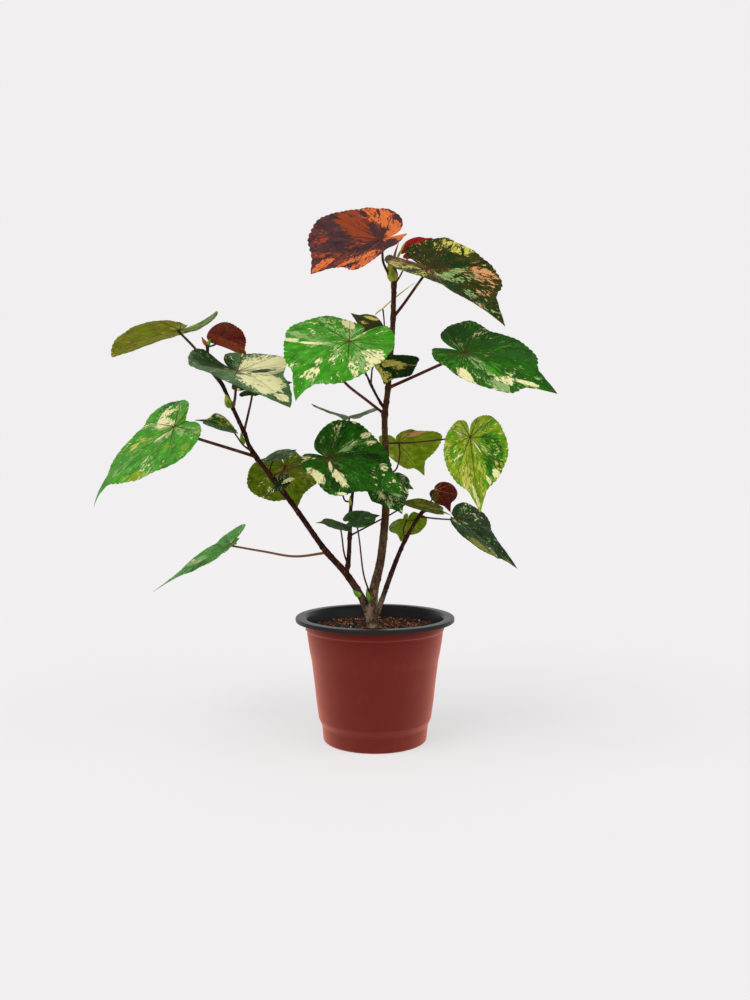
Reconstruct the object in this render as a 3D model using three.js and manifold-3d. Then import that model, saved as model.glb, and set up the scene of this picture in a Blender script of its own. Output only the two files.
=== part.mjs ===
// Variegated hibiscus shrub with several thin stems in a round nursery pot.
// Millimetres, +Z up. The origin is the centre of the pot's flat underside and -Y is the front.
import * as THREE from 'three';
import { mergeVertices } from 'three/addons/utils/BufferGeometryUtils.js';
import Module from 'manifold-3d';

const wasm = await Module();
wasm.setup();

// Driving dimensions of the pot
const POT_HEIGHT = 139;
const RIM_RADIUS = 90;
const RIM_WIDTH = 10;
const RIM_LIP = 4.5;
const WALL = 1.2;
const FLOOR = 2;
const SOIL_TOP = 126;
const DRAIN_HOLES = 8;
const DRAIN_RADIUS = 6;
const DRAIN_CIRCLE = 40;
const POT_SIDES = 32;
const LINER_SKIN = 1;

// Driving dimensions of the plant
const GAP = 0.3;
const LEAF_THICKNESS = 1.3;
const LEAF_THICKNESS_SHARE = 0.012;
const LARGE_LEAF = 90;
const EDGE_STEP = 30;
const STEM_SIDES = 8;
const BUD_SIDES = 6;
const STALK_SIDES = 5;

const COLOURS = {
  clay: 0x822d26,
  black: 0x322f31,
  mix: 0x5a3f2a,
  bark: 0x46301f,
  shoot: 0x3d1f1a,
  green: 0x3c8c26,
  dark: 0x1f5a22,
  pale: 0x9ab678,
  cream: 0xd9d29a,
  olive: 0x7d8420,
  orange: 0xb5552a,
  red: 0x6e1d14,
};

// Stems: a spline through the points, and a radius that falls from foot to tip.
const STEMS = {
  trunk: {
    points: [[-3, 0, 126.3], [-3, 0, 146], [-1, 0, 170], [7, 0, 206], [12, 1, 258], [12.6, 1, 311],
      [11, 0, 362], [15, 0, 400], [20, -1, 466], [21.7, -2, 521]],
    radius: [5.8, 2.8],
    fall: 1.8,
    flare: 1.2,
    steps: 30,
    colour: 'bark',
    bracts: [
      { from: [21.7, -2, 517], to: [19, -3, 549], wide: 12.5 },
      { from: [21, -2, 534], to: [27, 2, 564], wide: 3 },
      { from: [21.3, -2.5, 530], to: [35, -7, 563], wide: 2.6 },
      { from: [17, 0, 431], to: [8, -2, 441], wide: 2.2 },
      { from: [-5.5, -3, 155], to: [-9, -6, 173], wide: 5 },
    ],
  },
  left_bough: {
    root: 'trunk',
    points: [[-4, 0, 133], [-13.5, 0, 157], [-32.8, 0, 187], [-58.4, 0, 216], [-93, 0, 265],
      [-137.4, 0, 323], [-148, 0, 346], [-160, 0, 372]],
    radius: [4.7, 2.3],
    fall: 1.8,
    steps: 22,
    colour: 'bark',
    bracts: [
      { from: [-148.5, -2, 334], to: [-151.5, -5, 347.5], wide: 5 },
      { from: [-16, -4, 162], to: [-25, -8, 170], wide: 6 },
    ],
  },
  left_bough_tip: {
    points: [[-160.2, 0, 372.4], [-173.7, 0, 402], [-188, 0, 427], [-190.7, 0, 449]],
    radius: [2.2, 1.5],
    fall: 1,
    steps: 10,
    colour: 'shoot',
    bracts: [
      { from: [-163, -3.5, 375], to: [-168.5, -7, 391], wide: 9 },
      { from: [-161, -3, 376], to: [-157.5, -5, 385], wide: 4.5 },
      { from: [-190.5, 0, 446], to: [-196.5, -2, 456], wide: 4.5 },
      { from: [-190, 0, 446], to: [-186, -1, 454], wide: 4.2 },
    ],
  },
  inner_shoot: {
    root: 'left_bough',
    points: [[-32.5, 0, 186.5], [-30, 0, 204], [-28.3, 0, 237], [-27, 0, 267], [-22.8, 10, 295]],
    radius: [2.6, 1.6],
    fall: 1,
    steps: 12,
    colour: 'shoot',
    bracts: [{ from: [-27, 0, 262], to: [-28, -4, 276], wide: 3.2 }],
  },
  right_shoot: {
    root: 'trunk',
    points: [[-1, 0, 134], [8.6, 0, 160], [23.4, 0, 200], [34.2, 0, 225], [51.2, 0, 254], [60.5, 3, 260]],
    radius: [3.2, 1.7],
    fall: 1,
    steps: 14,
    colour: 'shoot',
    bracts: [],
  },
  upper_twig: {
    root: 'trunk',
    points: [[11.5, 0, 373], [1.8, 0, 389], [-6.1, 0, 405], [-9.5, 0, 413]],
    radius: [1.8, 1.1],
    fall: 1,
    steps: 8,
    colour: 'shoot',
    bracts: [{ from: [-9.3, 0, 411], to: [-11.5, 1, 420], wide: 2.4 }],
  },
};

// Leaves: on is the stem, foot the height where the stalk leaves it, by the stalk's way,
// at the junction of stalk and blade, tip the blade's tip and face the way its upper side looks.
// Pairs are for the two halves. Angles are degrees and lengths are shares of the midrib, but for
// stalk, the stalk's radius in millimetres.
// edge is how far a half's outline stands from the usual one, at every EDGE_STEP degrees from the tip.
const LEAVES = {
  crown_orange: {
    on: 'trunk', foot: 516, by: [[10, -9, 537], [8, -24, 548]],
    at: [7, -35, 558], tip: [-68, -75, 513], face: [-0.1, -0.72, 0.69],
    edge: [[0.85, 0.97, 0.72, 0.68, 0.83, 1.15], [0.95, 0.92, 0.93, 1.16, 1.45, 0.75]],
    fold: [8, 13], body: 1.15, lobes: [0.8, 0.8], width: [0.6, 1], shear: [0.55, 0.1],
    stalk: 1.6, colour: 'orange',
  },
  crown_right: {
    on: 'trunk', foot: 478, by: [[33, -8, 493], [53, -26, 519]],
    at: [59, -35, 527], tip: [137, -80, 457], face: [0.35, -0.55, 0.75],
    edge: [[1.03, 0.9, 0.92, 1.12, 0.95, 1], [0.82, 0.9, 1.15, 1.1, 1, 1]],
    fold: [22, 9], droop: 25, body: 0.93, lobes: [1.1, 0.8], stalk: 1.8, colour: 'dark',
  },
  crown_red: {
    on: 'trunk', foot: 514, by: [[31, 14, 532]],
    at: [41, 28, 561], tip: [67, 28, 575], face: [0, -0.8, 0.6],
    width: 0.8, colour: 'red',
  },
  crown_edge: {
    on: 'trunk', foot: 428, by: [[10, 15, 443], [11, 42, 475]],
    at: [8, 55, 496], tip: [48, 60, 529], face: [-0.66, -0.12, 0.75],
    ripple: 0.01, droop: 4, lobes: 0.3, colour: 'olive',
  },
  upper_front: {
    on: 'trunk', foot: 368, by: [[-10, -30, 383], [-30, -68, 397], [-38, -84, 409], [-35, -88, 424]],
    at: [-27, -85, 441], tip: [-79, -130, 376], face: [-0.25, -0.75, 0.6],
    edge: [[1.1, 0.92, 0.88, 0.92, 1.08, 1.3], [0.97, 1, 1.28, 1.3, 1, 1]],
    droop: 15, hook: 60, stalk: 1.7, colour: 'green',
  },
  upper_back: {
    on: 'trunk', foot: 447, by: [[8, 38, 457]],
    at: [-7, 70, 472], tip: [-30, 105, 499], face: [0.1, -0.65, 1],
    edge: [[0.5, 0.5, 0.6, 0.8, 1, 1], [1.2, 0.95, 0.85, 0.85, 1, 1]],
    width: 0.85, colour: 'olive',
  },
  upper_folded: {
    on: 'upper_twig', foot: 402, by: [[-4, -7, 410], [-2, -13, 421]],
    at: [7, -15, 426], tip: [10, -28, 400], face: [0.2, -0.9, 0.3],
    edge: [[1.03, 0.85, 0.94, 1.25, 1, 1], [0.75, 0.8, 0.5, 0.6, 0.6, 0.6]],
    width: [2.6, 0.6], colour: 'olive',
  },
  right_upper: {
    on: 'trunk', foot: 398, by: [[42, -16, 409], [70, -42, 420]],
    at: [96, -60, 432], tip: [189, -95, 385], face: [0.15, -0.6, 0.78],
    edge: [[0.99, 0.9, 0.85, 1.45, 1.25, 0.75], [1.08, 0.92, 0.64, 0.8, 0.9, 1.1]],
    lobes: 0.8, body: 0.95, width: [1.18, 1], stalk: 1.9, colour: 'green',
  },
  middle_back: {
    on: 'inner_shoot', foot: 268, by: [[-37, 18, 276], [-38, 52, 336]],
    at: [-30, 60, 367], tip: [-39, 128, 365], face: [0, 0.42, 1],
    edge: [[1, 1, 1, 1, 1, 1], [0.85, 0.85, 0.85, 0.85, 0.85, 1]],
    fold: [8, 15], cup: 20, width: [1.15, 1], colour: 'pale',
  },
  middle_front: {
    on: 'left_bough', foot: 297, by: [[-103, -18, 304], [-81, -55, 310]],
    at: [-49, -75, 319], tip: [35, -98, 280], face: [0.1, -0.75, 0.65],
    edge: [[0.92, 0.9, 1.07, 1.3, 0.93, 0.67], [0.83, 0.9, 0.62, 0.85, 1.05, 1.3]],
    lobes: [0.7, 0.6], width: [1, 0.9], stalk: 1.2, colour: 'dark',
  },
  middle_right: {
    on: 'trunk', foot: 300, by: [[24, 14, 305], [29, 40, 321]],
    at: [28, 60, 337], tip: [61, 92, 296], face: [-0.1, 0.8, 0.5],
    edge: [[1.42, 1.35, 1, 1, 1, 1], [1.07, 1.12, 0.72, 0.87, 1, 1]],
    fold: [50, -5], body: 0.92, lobes: 0.5, width: [1, 1.3], colour: 'olive',
  },
  right_hanging: {
    on: 'trunk', foot: 335, by: [[45, -22, 336], [77, -58, 339]],
    at: [100, -80, 341], tip: [109, -95, 262], face: [-0.26, -0.95, 0.08],
    edge: [[0.97, 0.98, 0.87, 0.92, 0.78, 0.42], [0.96, 0.97, 0.86, 0.83, 0.83, 0.77]],
    fold: 25, lobes: 0.7, width: [0.95, 0.65], colour: 'olive',
  },
  middle_drooping: {
    on: 'trunk', foot: 268, by: [[11, -25, 272]],
    at: [9, -52, 286], tip: [29, -68, 259], face: [0.1, -0.6, 0.8],
    edge: [[1, 1, 1, 1.4, 1.2, 1], [1, 0.9, 0.85, 1, 1, 1]],
    waves: 7, ripple: 0.05, droop: 40, lobes: 0.5, width: 1.1, colour: 'dark',
  },
  middle_cream: {
    on: 'trunk', foot: 284, by: [[15, -12, 288]],
    at: [18, -22, 293], tip: [43, -30, 284], face: [0, -0.6, 0.8],
    colour: 'cream',
  },
  right_olive: {
    on: 'inner_shoot', foot: 230, by: [[-10, -14, 241], [21, -24, 258]],
    at: [32, -26, 268], tip: [84, -32, 255], face: [0.25, 0.3, 0.92],
    edge: [[1.3, 1.35, 0.5, 0.3, 0.3, 0.3], [1.22, 0.92, 0.4, 0.3, 0.3, 0.3]],
    fold: 5, lobes: 0.2, width: [0.6, 0.7], colour: 'olive',
  },
  right_red: {
    on: 'right_shoot', foot: 259.5, by: [[66, 30, 269]],
    at: [72, 55, 280], tip: [90, 52, 253], face: [0, -0.9, 0.4],
    edge: [[1.15, 0.95, 0.75, 0.62, 0.4, 0.25], [1, 1.15, 1, 0.3, 0.3, 0.3]],
    body: 0.9, lobes: [1, 0.6], width: [1.35, 0.5], colour: 'red',
  },
  right_dark: {
    on: 'right_shoot', foot: 252, by: [[67, -3, 250], [83, -5, 249]],
    at: [91, -5, 250], tip: [161, -5, 193], face: [0.6, -0.3, 0.74],
    edge: [[0.8, 1, 0.8, 0.42, 0.3, 0.3], [1, 1.05, 0.6, 0.35, 0.3, 0.3]],
    fold: [10, 0], droop: 12, lobes: 0.5, width: [1, 0.75], colour: 'dark',
  },
  right_small: {
    on: 'right_shoot', foot: 225, by: [[33, 25, 235]],
    at: [38, 45, 245], tip: [31, 66, 217], face: [0, 0.7, 0.7],
    edge: [[1.1, 0.7, 0.35, 0.3, 0.6, 1.1], [1.05, 0.98, 1, 1.15, 1.15, 1.4]],
    body: 0.9, width: 1.25, colour: 'pale',
  },
  low_left: {
    on: 'inner_shoot', foot: 197, by: [[-35, -8, 212], [-37, -15, 230]],
    at: [-38, -20, 243], tip: [-66, -30, 247], face: [-0.1, -0.3, 0.95],
    colour: 'green',
  },
  low_right: {
    on: 'trunk', foot: 157, by: [[-12.5, -14, 187], [-17.5, -17, 227]],
    at: [-22, -24, 250], tip: [6, -12, 254], face: [-0.1, -0.47, 0.88],
    colour: 'green',
  },
  left_top: {
    on: 'left_bough_tip', foot: 401, by: [[-194, 14, 425], [-210, 30, 446]],
    at: [-231, 45, 470], tip: [-313, 50, 438], face: [-0.35, 0.13, 0.93],
    edge: [[0.85, 0.76, 0.45, 0.42, 0.46, 0.46], [0.78, 0.5, 0.31, 0.54, 0.85, 0.92]],
    fold: [13, 4], hook: 25, droop: 10, body: 1.3, lobe: 75, lobes: [0.5, 1.2], width: [0.7, 1],
    stalk: 1.8, colour: 'olive',
  },
  left_red: {
    on: 'left_bough_tip', foot: 445, by: [[-188, 5, 446]],
    at: [-183, 8, 449], tip: [-143, 2, 430], face: [0.3, -0.45, 0.85],
    edge: [[1.05, 1.1, 1.1, 1.05, 0.8, 0.6], [0.95, 0.85, 0.85, 0.55, 0.35, 0.3]],
    fold: [45, 48], colour: 'red',
  },
  left_grey: {
    on: 'left_bough_tip', foot: 376, by: [[-156, -22, 384], [-151, -45, 398]],
    at: [-148, -55, 412], tip: [-85, -128, 369], face: [0.29, -0.29, 0.91],
    edge: [[0.62, 0.63, 0.85, 1, 0.85, 1], [0.92, 0.95, 0.8, 0.83, 1, 1.25]],
    fold: [18, 2], droop: 25, body: 1.15, lobe: 60, lobes: 1.1, stalk: 1.7, colour: 'pale',
  },
  left_under: {
    on: 'left_bough', foot: 348, by: [[-147, 20, 368], [-145, 38, 389]],
    at: [-147, 50, 401], tip: [-100, 72, 410], face: [0.1, -0.6, 0.8],
    edge: [[1, 1, 1, 1, 1, 1], [0.95, 0.6, 0.5, 0.55, 0.8, 0.8]],
    stalk: 1.5, colour: 'dark',
  },
  left_inner: {
    on: 'left_bough', foot: 325, by: [[-148, -12, 333], [-153, -24, 342]],
    at: [-155, -30, 348], tip: [-197, -45, 360], face: [0, -0.34, 0.94],
    edge: [[1.25, 1.15, 0.4, 0.4, 0.4, 0.4], [0.95, 1.1, 0.4, 0.3, 0.3, 0.3]],
    fold: 8, lobes: 0.4, colour: 'dark',
  },
  left_outer: {
    on: 'left_bough', foot: 320, by: [[-167, -28, 331], [-192, -56, 340]],
    at: [-212, -75, 352], tip: [-294, -85, 267], face: [-0.58, -0.5, 0.64],
    edge: [[1, 1.1, 1.38, 0.82, 0.35, 0.3], [0.92, 0.83, 1.3, 0.95, 0.45, 0.3]],
    droop: 8, hook: 35, sweep: 0.05, lobes: 0.8, width: 0.85, stalk: 1.9, colour: 'green',
  },
  left_flat: {
    on: 'left_bough', foot: 299, by: [[-120, 7, 306]],
    at: [-117, 10, 317], tip: [-90, 20, 328], face: [-0.25, -0.25, 0.93],
    edge: [[1.3, 1.5, 1.2, 0.95, 1, 1], [1.3, 1.4, 0.6, 0.4, 0.5, 0.5]],
    colour: 'pale',
  },
  left_back: {
    on: 'left_bough', foot: 292, by: [[-109, 24, 299]],
    at: [-108, 58, 309], tip: [-96, 100, 258], face: [0, 0.7, 0.7],
    edge: [[1.22, 1.28, 1.05, 0.9, 0.65, 0.55], [0.92, 1, 0.95, 0.72, 0.95, 0.85]],
    body: 1.05, colour: 'olive',
  },
  left_small: {
    on: 'left_bough', foot: 278, by: [[-104, -10, 282]],
    at: [-107, -19, 290], tip: [-88, -26, 296], face: [0.2, -0.8, 0.6],
    width: 0.8, colour: 'dark',
  },
  left_low: {
    on: 'left_bough', foot: 211, by: [[-93, 25, 204], [-133, 52, 207]],
    at: [-175, 75, 214], tip: [-274, 90, 153], face: [-0.52, -0.14, 0.85],
    edge: [[0.78, 0.58, 0.6, 0.3, 0.3, 0.3], [1.08, 0.78, 1.45, 0.35, 0.3, 0.3]],
    fold: [-3, 4], droop: 5, body: 0.95, lobe: 30, lobes: 0.8, width: 0.8, stalk: 1.5, colour: 'green',
  },
};

const LEAF_USUAL = {
  width: 1, fold: 0, cup: 0, shear: 0, lobes: 1, body: 1,
  droop: 20, hook: 0, sweep: 0, lobe: 10, ripple: 0.012, waves: 5, stalk: 1.05,
  edge: [[1, 1], [1, 1]],
};

const radians = THREE.MathUtils.degToRad;

function vector(values) {
  return new THREE.Vector3(...values);
}

function material(name) {
  return new THREE.MeshStandardMaterial({ color: COLOURS[name], roughness: 0.6, metalness: 0 });
}

function solidOf(geometry) {
  geometry.deleteAttribute('normal');
  geometry.deleteAttribute('uv');
  const merged = mergeVertices(geometry);
  const vertProperties = new Float32Array(merged.getAttribute('position').array);
  const triVerts = new Uint32Array(merged.getIndex().array);
  return new wasm.Manifold(new wasm.Mesh({ numProp: 3, vertProperties, triVerts }));
}

function meshOf(name, solid, colour) {
  const result = solid.getMesh();
  const geometry = new THREE.BufferGeometry();
  geometry.setAttribute('position', new THREE.BufferAttribute(result.vertProperties, 3));
  geometry.setIndex(new THREE.BufferAttribute(result.triVerts, 1));
  geometry.computeVertexNormals();
  const mesh = new THREE.Mesh(geometry, material(colour));
  mesh.name = name;
  return mesh;
}

// A limb is a closed cylinder bent along a spline, with its own radius at each ring.
function limb(curve, radiusAt, sides, steps) {
  const geometry = new THREE.CylinderGeometry(1, 1, 1, sides, steps);
  const frames = curve.computeFrenetFrames(steps, false);
  const position = geometry.getAttribute('position');
  const point = new THREE.Vector3();
  for (let i = 0; i < position.count; i += 1) {
    const t = position.getY(i) + 0.5;
    const ring = Math.round(t * steps);
    const radius = radiusAt(t);
    point.copy(curve.getPointAt(t));
    point.addScaledVector(frames.normals[ring], position.getZ(i) * radius);
    point.addScaledVector(frames.binormals[ring], position.getX(i) * radius);
    position.setXYZ(i, point.x, point.y, point.z);
  }
  return solidOf(geometry);
}

function splineThrough(points) {
  return new THREE.CatmullRomCurve3(points, false, 'catmullrom', 0.5);
}

// Share of a stem's length at which it reaches a height.
function shareAtHeight(curve, height) {
  let low = 0;
  let high = 1;
  for (let i = 0; i < 30; i += 1) {
    const middle = (low + high) / 2;
    if (curve.getPointAt(middle).z < height) {
      low = middle;
    } else {
      high = middle;
    }
  }
  return (low + high) / 2;
}

// Small swellings at the nodes where leaf stalks leave the stem.
function swelling(stem, height) {
  let total = 0;
  for (const leaf of Object.values(LEAVES)) {
    if (STEMS[leaf.on] === stem) {
      total += 0.5 * Math.exp(-(((height - leaf.foot) / 4) ** 2));
    }
  }
  return Math.min(total, 0.7);
}

function stemRadius(stem, curve, t) {
  const height = curve.getPointAt(t).z;
  const [foot, tip] = stem.radius;
  const taper = tip + (foot - tip) * (1 - t) ** stem.fall;
  const flare = (stem.flare || 0) * Math.exp((SOIL_TOP - height) / 14);
  return taper + flare + swelling(stem, height);
}

function stemLimb(stem, extra) {
  const curve = splineThrough(stem.points.map(vector));
  return limb(curve, (t) => stemRadius(stem, curve, t) + extra, STEM_SIDES, stem.steps);
}

// A bud or bract is a short spindle that starts inside its stem.
function spindle(bract, extra) {
  const curve = new THREE.LineCurve3(vector(bract.from), vector(bract.to));
  const radiusAt = (t) => extra + 0.25 + bract.wide * 0.5 * Math.sin(Math.PI * t ** 0.6);
  return limb(curve, radiusAt, BUD_SIDES, 4);
}

// The stem with its buds, grown by the gap that every leaf keeps from it.
function stemClearance(stem) {
  return stem.bracts.reduce((solid, bract) => solid.add(spindle(bract, GAP)), stemLimb(stem, GAP));
}

function stemSolid(stem) {
  let solid = stemLimb(stem, 0);
  if (stem.root) {
    solid = solid.subtract(stemLimb(STEMS[stem.root], GAP));
  }
  for (const bract of stem.bracts) {
    solid = solid.add(spindle(bract, 0));
  }
  return solid;
}

// The blade's outline: distance from the junction at an angle from the tip, as a share of the midrib.
function reach(degrees, body) {
  const angle = Math.abs(degrees);
  const oval = 0.59 + 0.16 * Math.cos(radians(angle));
  const sinus = 1 - 0.89 * Math.exp((angle - 180) / 6);
  const drip = Math.max(0, 1 - angle / 16) ** 1.8;
  return body * oval * sinus * (1 - drip) + drip;
}

// A smooth value between the marks of a list, at a place counted in marks.
function between(marks, place) {
  const last = marks.length - 1;
  const low = Math.min(Math.floor(place), last - 1);
  const [a, b, c, d] = [-1, 0, 1, 2].map((step) => marks[THREE.MathUtils.clamp(low + step, 0, last)]);
  const t = place - low;
  return b + 0.5 * t * (c - a + t * (2 * a - 5 * b + 4 * c - d + t * (3 * (b - c) + d - a)));
}

function arc(length, slope, bend) {
  if (Math.abs(bend) < 1e-6) {
    return [length * Math.cos(slope), length * Math.sin(slope)];
  }
  const end = slope + bend * length;
  return [(Math.sin(end) - Math.sin(slope)) / bend, (Math.cos(slope) - Math.cos(end)) / bend];
}

// The midrib seen from the side: along, rise and slope at a share of its length.
function midrib(share, droop, hook) {
  const start = 0.6;
  if (share <= start) {
    return [...arc(share, 0, -droop), -droop * share];
  }
  const [along, rise] = arc(start, 0, -droop);
  const slope = -droop * start;
  const bend = -(droop + hook / (1 - start));
  const [more, drop] = arc(share - start, slope, bend);
  return [along + more, rise + drop, slope + bend * (share - start)];
}

function halves(value) {
  return Array.isArray(value) ? value : [value, value];
}

// Axes that carry the flat leaf's own frame to its place on the plant.
function leafFrame(leaf) {
  const at = vector(leaf.at);
  const chord = vector(leaf.tip).sub(at);
  const along = chord.clone().normalize();
  const up = vector(leaf.face);
  up.addScaledVector(along, -up.dot(along)).normalize();
  const side = new THREE.Vector3().crossVectors(up, along);
  const [endAlong, endRise] = midrib(1, radians(leaf.droop), radians(leaf.hook));
  const end = new THREE.Vector3(endAlong, leaf.sweep, endRise);
  const length = chord.length() / end.length();
  end.normalize();
  const lift = new THREE.Vector3(0, 0, 1).addScaledVector(end, -end.z).normalize();
  const across = new THREE.Vector3().crossVectors(lift, end);
  return { at, along, up, side, length, end, lift, across };
}

// A point of the leaf's middle surface at an angle from the tip and a share of the way to the margin.
function leafPoint(leaf, frame, degrees, share) {
  const half = degrees > 0 ? 0 : 1;
  const angle = radians(degrees);
  const back = Math.max(0, -Math.cos(angle));
  const lobes = 1 + (halves(leaf.lobes)[half] - 1) * back;
  const edge = between([1, ...leaf.edge[half]], Math.abs(degrees) / EDGE_STEP);
  const distance = reach(degrees, leaf.body) * share * lobes * edge;
  const out = Math.abs(distance * Math.sin(angle)) * halves(leaf.width)[half];
  const forward = distance * Math.cos(angle) + out * halves(leaf.shear)[half];
  const bend = radians(halves(leaf.cup)[half]);
  const [aside, raised] = arc(out, radians(halves(leaf.fold)[half]), bend);
  const wave = leaf.ripple * share * share * Math.sin(leaf.waves * angle);
  let [x, z, slope] = [...arc(forward, 0, radians(leaf.lobe)), radians(leaf.lobe) * forward];
  let y = half === 0 ? aside : -aside;
  if (forward > 0) {
    [x, z, slope] = midrib(forward, radians(leaf.droop), radians(leaf.hook));
    y += leaf.sweep * forward * forward;
  }
  const height = raised + wave;
  const own = new THREE.Vector3(x - Math.sin(slope) * height, y, z + Math.cos(slope) * height);
  return frame.at.clone()
    .addScaledVector(frame.along, frame.length * own.dot(frame.end))
    .addScaledVector(frame.side, frame.length * own.dot(frame.across))
    .addScaledVector(frame.up, frame.length * own.dot(frame.lift));
}

function leafNormal(leaf, frame, degrees, share) {
  const g = Math.max(share, 0.05);
  const outward = leafPoint(leaf, frame, degrees, g + 0.01).sub(leafPoint(leaf, frame, degrees, g - 0.01));
  const around = leafPoint(leaf, frame, degrees + 2, g).sub(leafPoint(leaf, frame, degrees - 2, g));
  return outward.cross(around).normalize();
}

// Spokes stand closer at the tip and at the sinus, where the outline turns fast.
function spokeAngles() {
  const half = [8, 20, 38, 60, 88, 116, 142, 160, 172];
  return [-180, ...half.map((a) => -a).reverse(), 0, ...half, 180];
}

// A blade is a sphere's net pressed flat: upper rings, the margin's wall and lower rings.
function bladeSolid(leaf, frame) {
  const angles = spokeAngles();
  const spokes = angles.length - 1;
  const rings = frame.length > LARGE_LEAF ? 3 : 2;
  const rows = 2 * rings + 1;
  const geometry = new THREE.SphereGeometry(1, spokes, rows);
  const position = geometry.getAttribute('position');
  const thickness = Math.min(LEAF_THICKNESS, Math.max(0.8, frame.length * LEAF_THICKNESS_SHARE));
  for (let row = 0; row <= rows; row += 1) {
    const upper = row <= rings;
    const share = (upper ? row : rows - row) / rings;
    for (let spoke = 0; spoke <= spokes; spoke += 1) {
      const degrees = spoke === spokes ? -180 : angles[spoke];
      const normal = share === 0 ? frame.up : leafNormal(leaf, frame, degrees, Math.min(share, 0.98));
      const offset = (upper ? 0.5 : -0.5) * thickness;
      const point = leafPoint(leaf, frame, degrees, share).addScaledVector(normal, offset);
      position.setXYZ(row * (spokes + 1) + spoke, point.x, point.y, point.z);
    }
  }
  return solidOf(geometry);
}

function stalkSolid(leaf, frame, stemCurve) {
  const foot = stemCurve.getPointAt(shareAtHeight(stemCurve, leaf.foot));
  const top = leafPoint(leaf, frame, 0, 0.03).addScaledVector(leafNormal(leaf, frame, 0, 0.05), -0.4);
  const curve = splineThrough([foot, ...leaf.by.map(vector), top]);
  const length = curve.getLength();
  const radiusAt = (t) => leaf.stalk * (1 + 0.3 * Math.exp(-t * length / 5) - 0.2 * t);
  return limb(curve, radiusAt, STALK_SIDES, 3 + Math.round(length / 20));
}

// The cut at the stem can leave a scrap of the stalk's foot, which is dropped.
function largestBody(solid) {
  return solid.decompose().reduce((a, b) => (a.volume() > b.volume() ? a : b));
}

function leafSolid(given) {
  const leaf = { ...LEAF_USUAL, ...given };
  const frame = leafFrame(leaf);
  const stem = STEMS[leaf.on];
  const stemCurve = splineThrough(stem.points.map(vector));
  const whole = bladeSolid(leaf, frame).add(stalkSolid(leaf, frame, stemCurve));
  return largestBody(whole.subtract(stemClearance(stem)));
}

// The pot's outer side, from the underside up to the rim: radius and height.
const POT_OUTSIDE = [
  [56.8, 0], [58.4, 1.2], [60, 16.8], [60.4, 18.6], [63.6, 25.4], [66.2, 43.5], [68.2, 62], [71.6, 89],
  [74.2, 102], [75.6, 111], [76.8, 120], [77.2, 124], [78.4, 125.6], [79, 129],
];

// The shell's inner side, with the same taper.
const POT_INSIDE = [[56, FLOOR], [58.7, 17.5], [62, 25.4], [66, 55], [70.2, 89], [75.5, 124]];
const NECK_RADIUS = 79.8;

function lathe(profile) {
  const geometry = new THREE.LatheGeometry(profile.map(([r, z]) => new THREE.Vector2(r, z)), POT_SIDES);
  geometry.rotateX(Math.PI / 2);
  return solidOf(geometry);
}

function drainHoles(solid) {
  let drained = solid;
  for (let i = 0; i < DRAIN_HOLES; i += 1) {
    const hole = new THREE.CylinderGeometry(DRAIN_RADIUS, DRAIN_RADIUS, 20, 12);
    const angle = (i + 0.5) * 2 * Math.PI / DRAIN_HOLES;
    hole.rotateX(Math.PI / 2);
    hole.translate(DRAIN_CIRCLE * Math.cos(angle), DRAIN_CIRCLE * Math.sin(angle), 0);
    drained = drained.subtract(solidOf(hole));
  }
  return drained;
}

// The shell's inner side moved inward by a distance and cut level at the floor.
function inside(distance, floor) {
  return POT_INSIDE.map(([r, z]) => [r - distance, Math.max(z, floor)]);
}

function potShell() {
  const top = POT_HEIGHT - 2 - GAP;
  const outer = [[0, 0], ...POT_OUTSIDE, [NECK_RADIUS, top]];
  return drainHoles(lathe([...outer, [NECK_RADIUS - WALL, top], ...inside(0, FLOOR).reverse(), [0, FLOOR]]));
}

function potLiner() {
  const floor = FLOOR + GAP;
  const under = POT_HEIGHT - 2;
  const outer = [[0, floor], ...inside(GAP, floor), [NECK_RADIUS - WALL - GAP, under]];
  const lip = POT_HEIGHT - RIM_LIP;
  const rim = [
    [RIM_RADIUS - 1.8, under], [RIM_RADIUS - 1.8, lip], [RIM_RADIUS, lip], [RIM_RADIUS, POT_HEIGHT - 0.8],
    [RIM_RADIUS - 0.8, POT_HEIGHT], [RIM_RADIUS - RIM_WIDTH, POT_HEIGHT],
    [NECK_RADIUS - WALL - GAP - LINER_SKIN, POT_HEIGHT - 2.5],
  ];
  const inner = inside(GAP + LINER_SKIN, floor + LINER_SKIN).reverse();
  return drainHoles(lathe([...outer, ...rim, ...inner, [0, floor + LINER_SKIN]]));
}

function pottingMix() {
  const floor = FLOOR + LINER_SKIN + 2 * GAP;
  const side = inside(LINER_SKIN + 2 * GAP, floor);
  const top = [[62, SOIL_TOP - 1.4], [44, SOIL_TOP], [0, SOIL_TOP]];
  return lathe([[0, floor], ...side, ...top]);
}

const plant = new THREE.Group();
plant.add(meshOf('pot_shell', potShell(), 'clay'));
plant.add(meshOf('pot_liner', potLiner(), 'black'));
plant.add(meshOf('potting_mix', pottingMix(), 'mix'));
for (const [name, stem] of Object.entries(STEMS)) {
  plant.add(meshOf(name, stemSolid(stem), stem.colour));
}
for (const [name, leaf] of Object.entries(LEAVES)) {
  plant.add(meshOf(`leaf_${name}`, leafSolid(leaf), leaf.colour));
}

export default plant;
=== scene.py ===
"""Variegated hibiscus shrub with several thin stems in a round nursery pot.

The stems and leaves are worked out from named sizes in millimetres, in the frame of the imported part:
+Z up, the origin at the centre of the pot's flat underside and -Y at the front.
"""

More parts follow.
